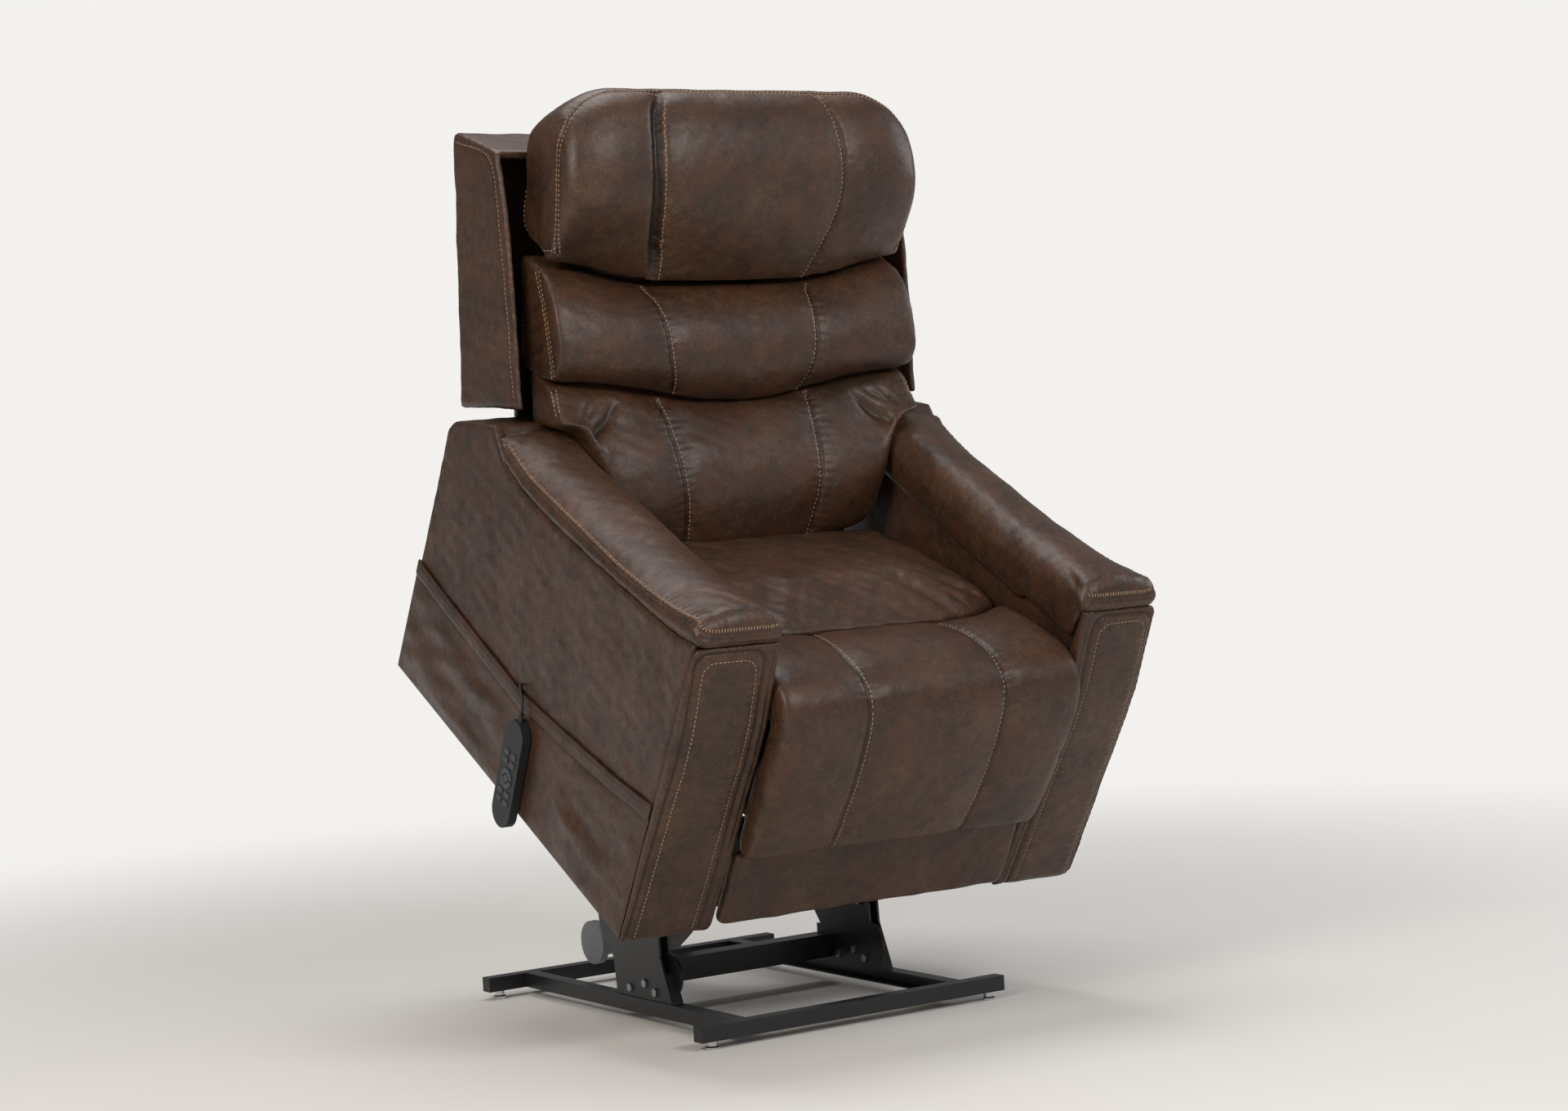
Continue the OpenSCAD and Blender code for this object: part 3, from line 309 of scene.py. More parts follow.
# Places in the body's level frame, in mm. The coil winds in on its inner layer and out on its outer one.
CORD_THICK = 5.0
COIL_X, COIL_Y, COIL_Z = -431.9, 440, 48.5
COIL_RADIUS, COIL_PITCH = 22, 5.6
COIL_POINTS, COIL_POINTS_A_TURN = 85, 24
CORD_IN = [[-406, 574, 157], [-411, 567, 154], [-417, 558, 150.5], [-423, 549.5, 147], [-428, 541, 143.5],
           [-431, 531.5, 139], [-431.9, 521, 132.5], [-431.9, 509.5, 123.5], [-431.9, 498.5, 112],
           [-431.9, 488.5, 98], [-431.9, 480.5, 82], [-431.9, 475, 65], [-431.9, 473.2, 48.5]]
CORD_OUT = [[-437.5, 409.6, 48.5], [-437.5, 409.8, 64], [-437.5, 411.5, 80], [-437.4, 414.5, 96],
            [-437.2, 418.5, 112], [-437, 423, 128], [-436.8, 427.5, 144], [-436.6, 432, 159],
            [-436.5, 436, 172], [-436.8, 439, 184], [-437.8, 440, 195], [-440.5, 438, 203.5],
            [-444.5, 433.5, 207.5], [-448, 427.5, 206.5], [-449.5, 421.5, 203], [-450.5, 415, 199],
            [-451.8, 408.5, 194.5], [-453, 402.5, 188.5], [-453.6, 398.8, 182.5], [-453.7, 397.3, 177.3]]


def handset_cord():
    """Two layers of one flat coil in the pocket: in from the arm, out over the hem to the handset."""
    coil = []
    for i in range(COIL_POINTS):
        turn = i / COIL_POINTS_A_TURN
        radius = COIL_RADIUS + COIL_PITCH * abs(2 - turn)
        share = min(max((turn - 2) * 2.5 + 0.5, 0), 1)
        coil.append([COIL_X - COIL_PITCH * share, COIL_Y + radius * math.cos(2 * math.pi * turn),
                     COIL_Z - radius * math.sin(2 * math.pi * turn)])
    route = [RAISED @ Vector([c / 1000 for c in p]) for p in CORD_IN + coil[1:-1] + CORD_OUT]
    data = bpy.data.curves.new("handset_lead", "CURVE")
    data.dimensions = "3D"
    data.bevel_depth = CORD_THICK / 2000
    data.bevel_resolution = 4
    data.use_fill_caps = True
    line = data.splines.new("POLY")
    line.points.add(len(route) - 1)
    for point, at in zip(line.points, route):
        point.co = (*at, 1)
    piece = bpy.data.objects.new("handset_lead", data)
    scene.collection.objects.link(piece)
    data.materials.append(cord_skin)
    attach(piece, "chassis")
    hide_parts("handset_cord", "handset_cord_coil")


handset_cord()


# ---------------------------------------------------------------- sewing

# Sizes in metres of the padding's broad and fine waves, and of the puckers along a seam.
BROAD_WAVE, FINE_WAVE = 0.11, 0.035
PUCKER_PITCH, PUCKER_DRIFT, PUCKER_REACH = 0.0135, 0.09, 0.012


def cushion_mesh(name, profile, pole, stations, step=7.0, up=UP, out=OUT, shrink=0.0, rear_top=0.0):
    """A cushion across the chair, from its outline at the middle (y, z in mm).

    Stations are [x, up, down, front, rear, rise] from the middle to one side: the shares of the outline's reach
    from the pole in each direction, and how far it stands higher.
    """
    ring = spline(profile, step, closed=True) - pole
    table = np.array(stations, float)
    xs = np.concatenate([np.linspace(0, table[-3, 0], 40)[:-1], np.linspace(table[-3, 0], table[-1, 0], 9)])
    rows = np.stack([xs] + [np.interp(xs, table[:, 0], table[:, k]) for k in range(1, 6)], 1)
    for k in range(1, 6):
        line = np.concatenate([rows[:0:-1, k], rows[:, k]])
        for _ in range(2):
            line[1:-1] = 0.25 * line[:-2] + 0.5 * line[1:-1] + 0.25 * line[2:]
        rows[:, k] = line[len(rows) - 1:]
    u, w = ring @ up, ring @ out
    rings = []
    for side in (-1, 1):
        order = rows[:0:-1] if side < 0 else rows
        for x, hi, lo, front, rear, rise in order:
            # The rear edge keeps more of its height than the front one, where rear_top says so.
            high = hi + (1 - hi) * rear_top * np.clip(-w / 40, 0, 1) if hi < 1 else hi
            a = u * np.where(u > 0, high, lo) + rise
            b = w * np.where(w > 0, front, rear)
            yz = pole + a[:, None] * up + b[:, None] * out
            rings.append(np.column_stack([np.full(len(yz), side * x), yz]) / 1000)
    piece = ring_loft(name, rings)
    if shrink:
        set_points(piece, points_of(piece) - normals_of(piece) * shrink / 1000)
    return piece


def surface(piece):
    """The piece's faces as a tree to lay points on."""
    co = [tuple(p) for p in points_of(piece)]
    return BVHTree.FromPolygons(co, [tuple(f.vertices) for f in piece.data.polygons])


def lay_on(tree, points, cast=None):
    """The points in mm put on the surface: straight along cast where it is given, else to the nearest place."""
    spots, ways = [], []
    for p in np.asarray(points, float) / 1000:
        hit = None
        if cast is not None:
            way = Vector(cast).normalized()
            hit, way_n, _, _ = tree.ray_cast(Vector(p) - way * 0.3, way)
        if hit is None:
            hit, way_n, _, _ = tree.find_nearest(Vector(p))
        spots.append(hit)
        ways.append(way_n)
    return np.array(spots), np.array(ways)


def nearest(co, line):
    """Distance from each point to the line's nearest point, and that point's number."""
    far = np.empty(len(co))
    which = np.empty(len(co), int)
    for i in range(0, len(co), 20000):
        d = ((co[i:i + 20000, None] - line[None]) ** 2).sum(2)
        which[i:i + 20000] = d.argmin(1)
        far[i:i + 20000] = np.sqrt(d[np.arange(len(d)), which[i:i + 20000]])
    return far, which


def stitch_shape():
    """One stitch: a short twist of thread that dips into the cloth at both ends, along X, up Z."""
    ring = 6
    stops = [(-2.9, 0.25, -0.9), (-2.3, 0.7, -0.2), (0, 0.85, 0.35), (2.3, 0.7, -0.2), (2.9, 0.25, -0.9)]
    points = [(x, r * math.cos(2 * math.pi * k / ring), h + r * math.sin(2 * math.pi * k / ring))
              for x, r, h in stops for k in range(ring)]
    faces = [(i * ring + k, (i + 1) * ring + k, (i + 1) * ring + (k + 1) % ring, i * ring + (k + 1) % ring)
             for i in range(len(stops) - 1) for k in range(ring)]
    faces += [tuple(range(ring)), tuple(reversed(range((len(stops) - 1) * ring, len(stops) * ring)))]
    return np.array(points) / 1000, faces


def stitch_rows(name, rows, body):
    """Rows of stitches as one piece. A row is (points, normals, pitch in mm, turn), turn 1 for across."""
    shape, faces = stitch_shape()
    all_points, all_faces = [], []
    for line, ways, pitch, across in rows:
        run = np.concatenate([[0], np.cumsum(np.linalg.norm(np.diff(line, axis=0), axis=1))])
        for at in np.arange(pitch / 2000, run[-1], pitch / 1000):
            p = np.array([np.interp(at, run, line[:, k]) for k in range(3)])
            n = np.array([np.interp(at, run, ways[:, k]) for k in range(3)])
            q = np.array([np.interp(min(at + 0.002, run[-1]), run, line[:, k]) for k in range(3)])
            r = np.array([np.interp(max(at - 0.002, 0), run, line[:, k]) for k in range(3)])
            t = (q - r) / max(np.linalg.norm(q - r), 1e-9)
            n = n - t * (n @ t)
            n /= max(np.linalg.norm(n), 1e-9)
            b = np.cross(n, t)
            if across:
                t, b = b, -t
            base = len(all_points) * len(shape)
            all_points.append(p + shape[:, :1] * t + shape[:, 1:2] * b + shape[:, 2:] * n)
            all_faces += [tuple(base + v for v in f) for f in faces]
    piece = mesh_piece(name, np.concatenate(all_points), all_faces)
    piece.data.transform(RAISED)
    only(piece)
    bpy.ops.object.shade_smooth()
    piece.data.materials.append(thread)
    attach(piece, body)
    return piece


CLOTH_FRAMES = 20
CLOTH_STIFFNESS = 12.0


def plump(piece, held, cap, pressure):
    """Blows the cover up from inside, held where it is sewn, and keeps each point within cap of its place."""
    before = points_of(piece)
    group = piece.vertex_groups.new(name="sewn")
    group.add([int(i) for i in np.flatnonzero(held)], 1.0, "REPLACE")
    made = piece.modifiers.new("cover", "CLOTH")
    made.settings.use_pressure = True
    made.settings.uniform_pressure_force = pressure
    made.settings.effector_weights.gravity = 0
    made.settings.quality = 4
    made.settings.tension_stiffness = CLOTH_STIFFNESS
    made.settings.compression_stiffness = CLOTH_STIFFNESS
    made.settings.bending_stiffness = 0.6
    made.settings.vertex_group_mass = "sewn"
    made.point_cache.frame_start = 1
    made.point_cache.frame_end = CLOTH_FRAMES
    for i in range(1, CLOTH_FRAMES + 1):
        scene.frame_set(i)
    shown = piece.evaluated_get(bpy.context.evaluated_depsgraph_get())
    after = np.array([v.co for v in shown.data.vertices], float)
    piece.modifiers.remove(made)
    piece.vertex_groups.remove(group)
    scene.frame_set(1)
    move = after - before
    size = np.linalg.norm(move, axis=1)
    move *= np.minimum(1, cap / np.maximum(size, 1e-9))[:, None]
    set_points(piece, before + move)


def seam(points, cast=None, depth=3.0, width=3.5, pull=3.0, reach=22.0, gather=0.5, stitches=(4.0,), pitch=8.0,
         across=False, taper=0.0, painted_shade=1.0):
    """A sewn line through points in the body frame, all in mm.

    depth and width are its groove's, pull and reach say how far it draws the padding in, gather is the height of
    small puckers beside it, stitches are the rows' distances to one side, taper is the run-out at its ends, and
    painted_shade is how much shade is painted into its groove.
    """
    return dict(points=spline(points, 3.0), cast=cast, depth=depth, width=width, pull=pull, reach=reach,
                gather=gather, stitches=stitches, pitch=pitch, across=across, taper=taper, painted_shade=painted_shade)


def along(line, which, taper):
    """How far along the line each nearest point is, and a weight that falls to 0 at its ends over the taper."""
    run = np.concatenate([[0], np.cumsum(np.linalg.norm(np.diff(line, axis=0), axis=1))])
    at = run[which]
    if not taper:
        return at, np.ones(len(at))
    return at, np.clip(np.minimum(at, run[-1] - at) / (taper / 1000), 0, 1) ** 0.7


def on_back(x, up, out=90.0):
    """A point in the body frame from its place on the back: x across, up along the lean, out in front, in mm."""
    yz = BACK_POLE + up * UP + out * OUT
    return [x, yz[0], yz[1]]


def cover(piece, node, body, seams, voxel=0.006, cap=0.012, pressure=4.0, skin=None, hold=None,
          cloth=True, uneven=0.8, level=1, cut=None):
    """Turns a rough closed shape into a finished cover: even mesh, padding, seams, stitches, leather."""
    apply(piece, "REMESH", mode="VOXEL", voxel_size=voxel, use_smooth_shade=True)
    apply(piece, "SMOOTH", factor=0.5, iterations=3)
    co, ways = points_of(piece), normals_of(piece)
    tree = surface(piece)
    sewn = np.zeros(len(co), bool)
    for s in seams:
        if s["pull"] <= 0:
            continue
        line, _ = lay_on(tree, s["points"], s["cast"])
        far, which = nearest(co, line)
        full = along(line, which, s["taper"])[1]
        co = co - ways * (full * s["pull"] / 1000 * np.exp(-(far / (s["reach"] / 1000)) ** 1.5))[:, None]
        sewn |= far < voxel * 0.8
    if hold is not None:
        sewn |= hold(co * 1000, ways)
    set_points(piece, co)
    if cloth:
        plump(piece, sewn, cap, pressure)
        apply(piece, "SMOOTH", factor=0.4, iterations=1)
    if level:
        apply(piece, "SUBSURF", levels=level, render_levels=level)
    co, ways = points_of(piece), normals_of(piece)
    tree = surface(piece)
    fold = np.zeros(len(co))
    # Each piece has waves of its own, drawn from the length of its node's name.
    seed = len(node)
    move = uneven / 1000 * 0.7 * noise(co, BROAD_WAVE, seed) + uneven / 1000 * 0.3 * noise(co, FINE_WAVE, 3 + seed)
    laid = []
    for s in seams:
        line, line_ways = lay_on(tree, s["points"], s["cast"])
        far, which = nearest(co, line)
        run, full = along(line, which, s["taper"])
        deep = full * np.exp(-(far / (s["width"] / 1000)) ** 2)
        move = move - s["depth"] / 1000 * deep
        ripple = np.sin(run / PUCKER_PITCH * 2 * math.pi + 2.5 * np.sin(run / PUCKER_DRIFT + len(laid)))
        close = np.exp(-far / PUCKER_REACH) * (1 - deep)
        move = move + s["gather"] / 1000 * ripple * close
        # Painted shade: the fold attribute darkens the leather along each groove, more where the groove is deeper.
        fold = np.maximum(fold, full * np.exp(-(far / (0.6 * s["width"] / 1000)) ** 2) * s["painted_shade"]
                          * min(1, s["depth"] / 3))
        laid.append((s, line, line_ways))
    set_points(piece, co + ways * move[:, None])
    tree = surface(piece)
    rows = []
    for s, line, line_ways in laid:
        for off in s["stitches"]:
            flow = np.gradient(line, axis=0)
            aside = np.cross(line_ways, flow)
            aside /= np.maximum(np.linalg.norm(aside, axis=1), 1e-9)[:, None]
            spots, spot_ways = lay_on(tree, (line + aside * off / 1000) * 1000)
            rows.append((spots, spot_ways, s["pitch"], s["across"]))
    # The painted shade goes to the leather as the fold attribute.
    painted_shade_layer = piece.data.attributes.new("fold", "FLOAT", "POINT")
    painted_shade_layer.data.foreach_set("value", fold.astype(np.float32))
    piece.data.transform(RAISED)
    only(piece)
    bpy.ops.object.shade_smooth()
    piece.data.materials.clear()
    piece.data.materials.append(skin or leather)
    if cut:
        halves(piece, rows, cut)
        return
    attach(piece, body)
    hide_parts(node)
    if rows:
        stitch_rows(piece.name + "_stitching", rows, body)


def halves(piece, rows, cut):
    """Cuts one cover along a plane into two that meet with no ridge: (point, normal, upper part, lower part)."""
    at = RAISED @ Vector(cut[0])
    way = RAISED.to_3x3() @ Vector(cut[1])
    for above, (name, node, body) in ((True, cut[2]), (False, cut[3])):
        made = piece.copy()
        made.data = piece.data.copy()
        made.name = made.data.name = name
        scene.collection.objects.link(made)
        only(made)
        bpy.ops.object.mode_set(mode="EDIT")
        bpy.ops.mesh.select_all(action="SELECT")
        bpy.ops.mesh.bisect(plane_co=at, plane_no=way, use_fill=True, clear_inner=above, clear_outer=not above)
        bpy.ops.object.mode_set(mode="OBJECT")
        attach(made, body)
        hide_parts(node)
        kept = []
        for line, ways, pitch, across in rows:
            on = (line - np.array(cut[0])) @ np.array(cut[1]) > 0
            on = on if above else ~on
            if on.sum() > 3:
                kept.append((line[on], ways[on], pitch, across))
        stitch_rows(name + "_stitching", kept, body)
    bpy.data.objects.remove(piece, do_unlink=True)


def rear_side(ends=400, limit=0.5):
    """Points that stay where they are: those that face the frame behind, and the flat ends past a width."""
    way = np.array([0, -OUT[0], -OUT[1]])
    return lambda co, ways: (ways @ way > limit) | (np.abs(co[:, 0]) > ends)


# ---------------------------------------------------------------- back cushions

def headrest():
    """The headrest: a deep crease down its left third, a plain seam at the right, a band sewn round its edge."""
    profile = [[772, 768], [768, 757], [757, 752], [746, 778], [737, 845], [736, 915], [752, 965], [790, 1020],
               [830, 1054], [868, 1062], [898, 1048], [910, 1010], [908, 960], [886, 907], [830, 792]]
    piece = cushion_mesh("headrest_cover", profile, np.array([820.0, 900.0]), [
        [0, 1, 1, 1.02, 1, 0], [90, 1, 0.99, 1.02, 1, 0], [150, 1, 0.97, 1.01, 1, 0], [178, 1, 0.95, 0.98, 1, 0],
        [210, 1, 0.92, 1, 1, 0], [240, 1, 0.87, 0.99, 1.08, 0], [264, 0.985, 0.83, 0.99, 1.28, 0],
        [290, 0.935, 0.79, 0.96, 1.45, 0], [318, 0.84, 0.765, 0.9, 1.5, 0], [336, 0.71, 0.755, 0.8, 1.5, 0],
        [347, 0.6, 0.745, 0.68, 1.46, 0], [352, 0.5, 0.72, 0.56, 1.4, 0]], shrink=4, rear_top=0.55)
    panel = [[150, 606, 62], [160, 597, 90], [176, 540, 118], [181, 470, 120], [180, 410, 118], [172, 350, 92],
             [160, 300, 70], [151, 264, 36]]
    band = [[338, 318, 50], [350, 350, 56], [352, 400, 62], [353, 470, 67], [346, 530, 78], [324, 566, 80],
            [288, 588, 78], [230, 599, 74], [120, 602, 72]]
    rear = [[340, 322, -38], [352, 400, -44], [352, 486, -44], [344, 548, -24], [318, 575, 4], [270, 592, 24],
            [200, 597, 32]]
    seams = []
    for side in (-1, 1):
        seams.append(seam([on_back(side * x, a, n) for x, a, n in panel], depth=15 if side < 0 else 5,
                          width=9 if side < 0 else 3.6, pull=9 if side < 0 else 4, reach=30, taper=55,
                          stitches=(side * -11.0,) if side < 0 else (-5.0,), gather=0.3))
    full = [on_back(-x, a, n) for x, a, n in band] + [on_back(x, a, n) for x, a, n in band[::-1]]
    seams.append(seam(full, depth=2.2, width=2.6, pull=2.5, reach=16, stitches=(-4.0, 4.0), gather=0.25))
    full = [on_back(-x, a, n) for x, a, n in rear] + [on_back(x, a, n) for x, a, n in rear[::-1]]
    seams.append(seam(full, depth=1.8, width=2.6, pull=1.5, reach=12, stitches=(4.0,), gather=0.25))
    for side in (-1, 1):
        seams.append(seam([on_back(side * 350, 334, n) for n in (52, 30, 8, -14)], depth=1.2, width=2.2, pull=1,
                          reach=8, stitches=(3.0,), gather=0.2))
    cover(piece, "headrest_cushion", "headrest", seams, hold=rear_side(344), cap=0.010)


def upper_back():
    """The middle cushion: a plain crown between two seams, with gathered ends."""
    profile = [[668, 604], [654, 622], [650, 655], [662, 688], [682, 714], [712, 736], [745, 746], [790, 746],
               [828, 738], [801, 690], [758, 604]]
    piece = cushion_mesh("upper_back_cover", profile, np.array([720.0, 670.0]), [
        [0, 1, 1.28, 1.01, 1, 0], [70, 1, 1.24, 1.01, 1, 0], [134, 1.02, 1.1, 1, 1, 0], [156, 1.03, 1.05, 1, 1, 0],
        [230, 1.15, 0.88, 1, 1, 0], [290, 1.32, 0.8, 0.99, 1.05, 0], [330, 1.38, 0.77, 0.98, 1.15, 0],
        [350, 1.38, 0.76, 0.94, 1.2, 0], [358, 1.3, 0.72, 0.88, 1.15, 0]], shrink=3)
    panel = [[165, 290, 30], [158, 262, 45], [150, 204, 80], [145, 149, 85], [136, 105, 70], [130, 80, 40]]
    band = [[352, 300, 0], [353, 255, 16], [353, 209, 30], [353, 143, 44], [353, 120, 46]]
    rear = [[352, 282, -72], [353, 235, -66], [353, 142, -56]]
    seams = [seam([on_back(side * x, a, n) for x, a, n in panel], depth=4, width=3.6, pull=5, reach=26,
                  stitches=(side * -5.0,), gather=0.7, taper=12) for side in (-1, 1)]
    for side in (-1, 1):
        seams.append(seam([on_back(side * x, a, n) for x, a, n in band], depth=2.2, width=2.6, pull=2.5, reach=12,
                          stitches=(-4.0, 4.0), gather=0.7))
        seams.append(seam([on_back(side * x, a, n) for x, a, n in rear], depth=1.6, width=2.4, pull=1, reach=9,
                          stitches=(4.0,), gather=0.3))
        for a in (250, 216, 180):
            seams.append(seam([on_back(side * 356, a, 22), on_back(side * 356, a - 12, -4),
                               on_back(side * 356, a - 20, -34)], depth=4.0, width=6, pull=0, stitches=(), gather=0,
                              taper=26, painted_shade=0.5))
    cover(piece, "upper_back_cushion", "back", seams, hold=rear_side(346), cap=0.010)


def lower_back():
    """The lower cushion: full in the middle, tucked where it passes between the arms, with thin wings above them."""
    profile = [[552, 366], [530, 368], [520, 386], [522, 424], [536, 480], [570, 527], [616, 566], [652, 592],
               [690, 602], [755, 602], [709, 506], [632, 372]]
    piece = cushion_mesh("lower_back_cover", profile, BACK_POLE, [
        [0, 0.8, 1, 1.01, 1, 0], [70, 0.82, 0.985, 1.01, 1, 0], [129, 0.88, 0.93, 1, 1, 0],
        [151, 0.92, 0.915, 1, 1, 0], [215, 1.03, 0.88, 0.98, 1, 0], [252, 1.09, 0.82, 0.94, 1, 2],
        [274, 1.04, 0.72, 0.9, 0.95, 8], [288, 0.92, 0.48, 0.88, 0.75, 26], [300, 0.68, 0.22, 0.87, 0.55, 50],
        [335, 0.6, 0.12, 0.88, 0.6, 60], [350, 0.6, 0.12, 0.86, 0.7, 60], [358, 0.54, 0.08, 0.8, 0.65, 62]],
        shrink=2)
    panel = [[148, 96, 40], [146, 70, 70], [143, 15, 95], [137, -60, 100], [129, -120, 95], [124, -160, 70]]
    seams = [seam([on_back(side * x, a, n) for x, a, n in panel], depth=4, width=3.6, pull=5, reach=26,
                  stitches=(side * -5.0,), gather=0.8, taper=12) for side in (-1, 1)]
    for side in (-1, 1):
        # The tuck where the wing turns down between the arms, and the shorter creases that run out of it.
        seams.append(seam([on_back(side * 232, 98, 60), on_back(side * 248, 80, 72), on_back(side * 262, 60, 78),
                           on_back(side * 286, 34, 70), on_back(side * 300, 22, 60)], depth=8, width=9, pull=3,
                          reach=20, stitches=(), gather=0, taper=40, painted_shade=0.8))
        for shift, bend in ((22, 10), (44, 16)):
            seams.append(seam([on_back(side * (236 + shift), 100, 60), on_back(side * (252 + shift), 84, 66),
                               on_back(side * (276 + shift), 70 - bend, 70)], depth=3, width=6, pull=0,
                              stitches=(), gather=0, taper=30, painted_shade=0.3))
        seams.append(seam([on_back(side * 353, a, n) for a, n in ((116, 46), (90, 50), (66, 60))], depth=2, width=2.6,
                          pull=1, reach=9, stitches=(-4.0, 4.0), gather=0.4))
    cover(piece, "lower_back_cushion", "back", seams, hold=rear_side(346, 0.35), cap=0.010, pressure=3.5,
          uneven=1.2)


# ---------------------------------------------------------------- seat

LEVEL_UP = np.array([0.0, 1.0])
LEVEL_OUT = np.array([-1.0, 0.0])


def seat():
    """The seat cushion, slack enough to wrinkle."""
    profile = [[166, 284], [163, 330], [163, 425], [172, 446], [200, 455], [240, 456], [320, 446], [420, 424],
               [500, 402], [528, 397], [541, 392], [543, 340], [540, 284]]
    piece = cushion_mesh("seat_cover", profile, np.array([350.0, 284.0]), [
        [0, 1, 1, 1, 1, 0], [150, 1, 1, 1, 1, 0], [210, 0.99, 1, 0.96, 1, 0], [250, 0.97, 1, 0.88, 1, 0],
        [272, 0.94, 1, 0.83, 1, 0], [288, 0.89, 1, 0.8, 0.98, 0], [296, 0.78, 1, 0.78, 0.97, 0]],
        up=LEVEL_UP, out=LEVEL_OUT, shrink=2)
    creases = []
    made = np.random.default_rng(11)
    for _ in range(9):
        # Soft wrinkles that fan from the corner between the back and the left arm.
        turn = made.uniform(-0.35, 0.2)
        start = made.uniform(20, 60)
        x, y = -210 + start * math.cos(turn), 505 + start * math.sin(turn)
        line = [[x + t * math.cos(turn + 0.1 * t / 60), y + t * math.sin(turn) - 14 * made.uniform(0, 1), 440]
                for t in np.linspace(0, made.uniform(110, 230), 5)]
        creases.append(seam(line, cast=(0, 0, -1), depth=made.uniform(0.6, 1.6), width=5, pull=0, stitches=(),
                            gather=0, taper=60, painted_shade=0.15))
    cover(piece, "seat_cushion", "chassis", creases, cap=0.010, pressure=3, uneven=2.2,
          hold=lambda co, ways: (np.abs(ways[:, 2]) < 0.5) | (ways[:, 2] < 0))


def seat_front():
    """The seat's nose and the footrest's pad, sewn as one form and parted where the footrest hinges away."""
    profile = np.array([[160, 284], [161, 430], [152, 446], [120, 460], [79, 470], [30, 474], [0, 471], [-28, 460],
                        [-47, 443], [-58, 418], [-65, 370], [-65, 310], [-60, 250], [-54, 205], [-44, 166],
                        [-30, 160], [-9, 166], [-8, 280], [-8, 402], [16, 398], [60, 388], [62, 284]], float)
    ring = spline(profile, 6, closed=True)
    flow = np.roll(ring, -1, 0) - np.roll(ring, 1, 0)
    inward = np.column_stack([flow[:, 1], -flow[:, 0]]) / np.linalg.norm(flow, axis=1)[:, None]
    middle = ring.mean(0)
    if ((ring - middle) * inward).sum() > 0:
        inward = -inward
    shown = np.clip(np.maximum(inward[:, 0], -inward[:, 1]) * 1.4, 0.12, 1)
    wide = np.interp(ring[:, 1], [166, 300, 400, 440, 480], [280.5, 283.6, 286, 287, 287.4])
    stops = [[0, 0], [120, 0], [200, 0], [240, 0], [258, 0.8], [268, 2.2], [275, 4.5], [280, 8], [283, 14]]
    xs = np.concatenate([np.arange(0, 240, 8), np.linspace(240, 283, 12)])
    rings = []
    for x in np.concatenate([-xs[:0:-1], xs]):
        inset = np.interp(abs(x), *np.array(stops).T)
        back = 34 * np.clip((abs(x) - 170) / 100, 0, 1) ** 2 * np.clip((ring[:, 0] - 60) / 100, 0, 1)
        yz = ring + (inset * shown)[:, None] * inward + np.column_stack([back, 0 * back])
        rings.append(np.column_stack([x * wide / 283, yz]) / 1000)
    piece = ring_loft("seat_front_cover", rings)
    line = [[122, 157, 452], [127, 120, 464], [131, 79, 474], [133, 30, 478], [133, 0, 475], [132, -28, 463],
            [132, -50, 444], [131, -62, 416], [131, -70, 370], [131, -70, 310], [130, -65, 250], [128, -58, 205],
            [126, -46, 166], [125, -30, 158]]
    seams = [seam([[side * x, y, z] for x, y, z in line], depth=3.4, width=3.4, pull=5, reach=26,
                  stitches=(side * -5.0,), gather=0.6) for side in (-1, 1)]
    cover(piece, "seat_bolster", None, seams, cap=0.008, pressure=3, voxel=0.006,
          hold=lambda co, ways: (ways[:, 2] < -0.2) | ((ways[:, 1] > 0.3) & (co[:, 2] < 440)) | (co[:, 2] < 175),
          cut=((0, -0.020, 0.4105), (0, 0.5268, 0.85), ("seat_nose_cover", "seat_bolster", "chassis"),
               ("footrest_cover", "footrest_pad", "footrest")))


# ---------------------------------------------------------------- arms

# Along the arm: y, the pad's lower edge, its sewn outer edge, its inner side and how far its crown stands above.
PAD = [[1, 535, 545, 291, 4], [14.5, 535, 563, 286, 9], [30, 534, 571, 285, 14], [66, 524, 560, 285, 19],
       [135, 516, 545, 285, 25], [258, 507, 530, 286, 31], [392, 498, 525, 288, 32], [500, 493, 521, 291, 32],
       [560, 493, 521, 293, 29], [630, 507, 530, 294, 22], [662, 531, 540, 296, 6]]


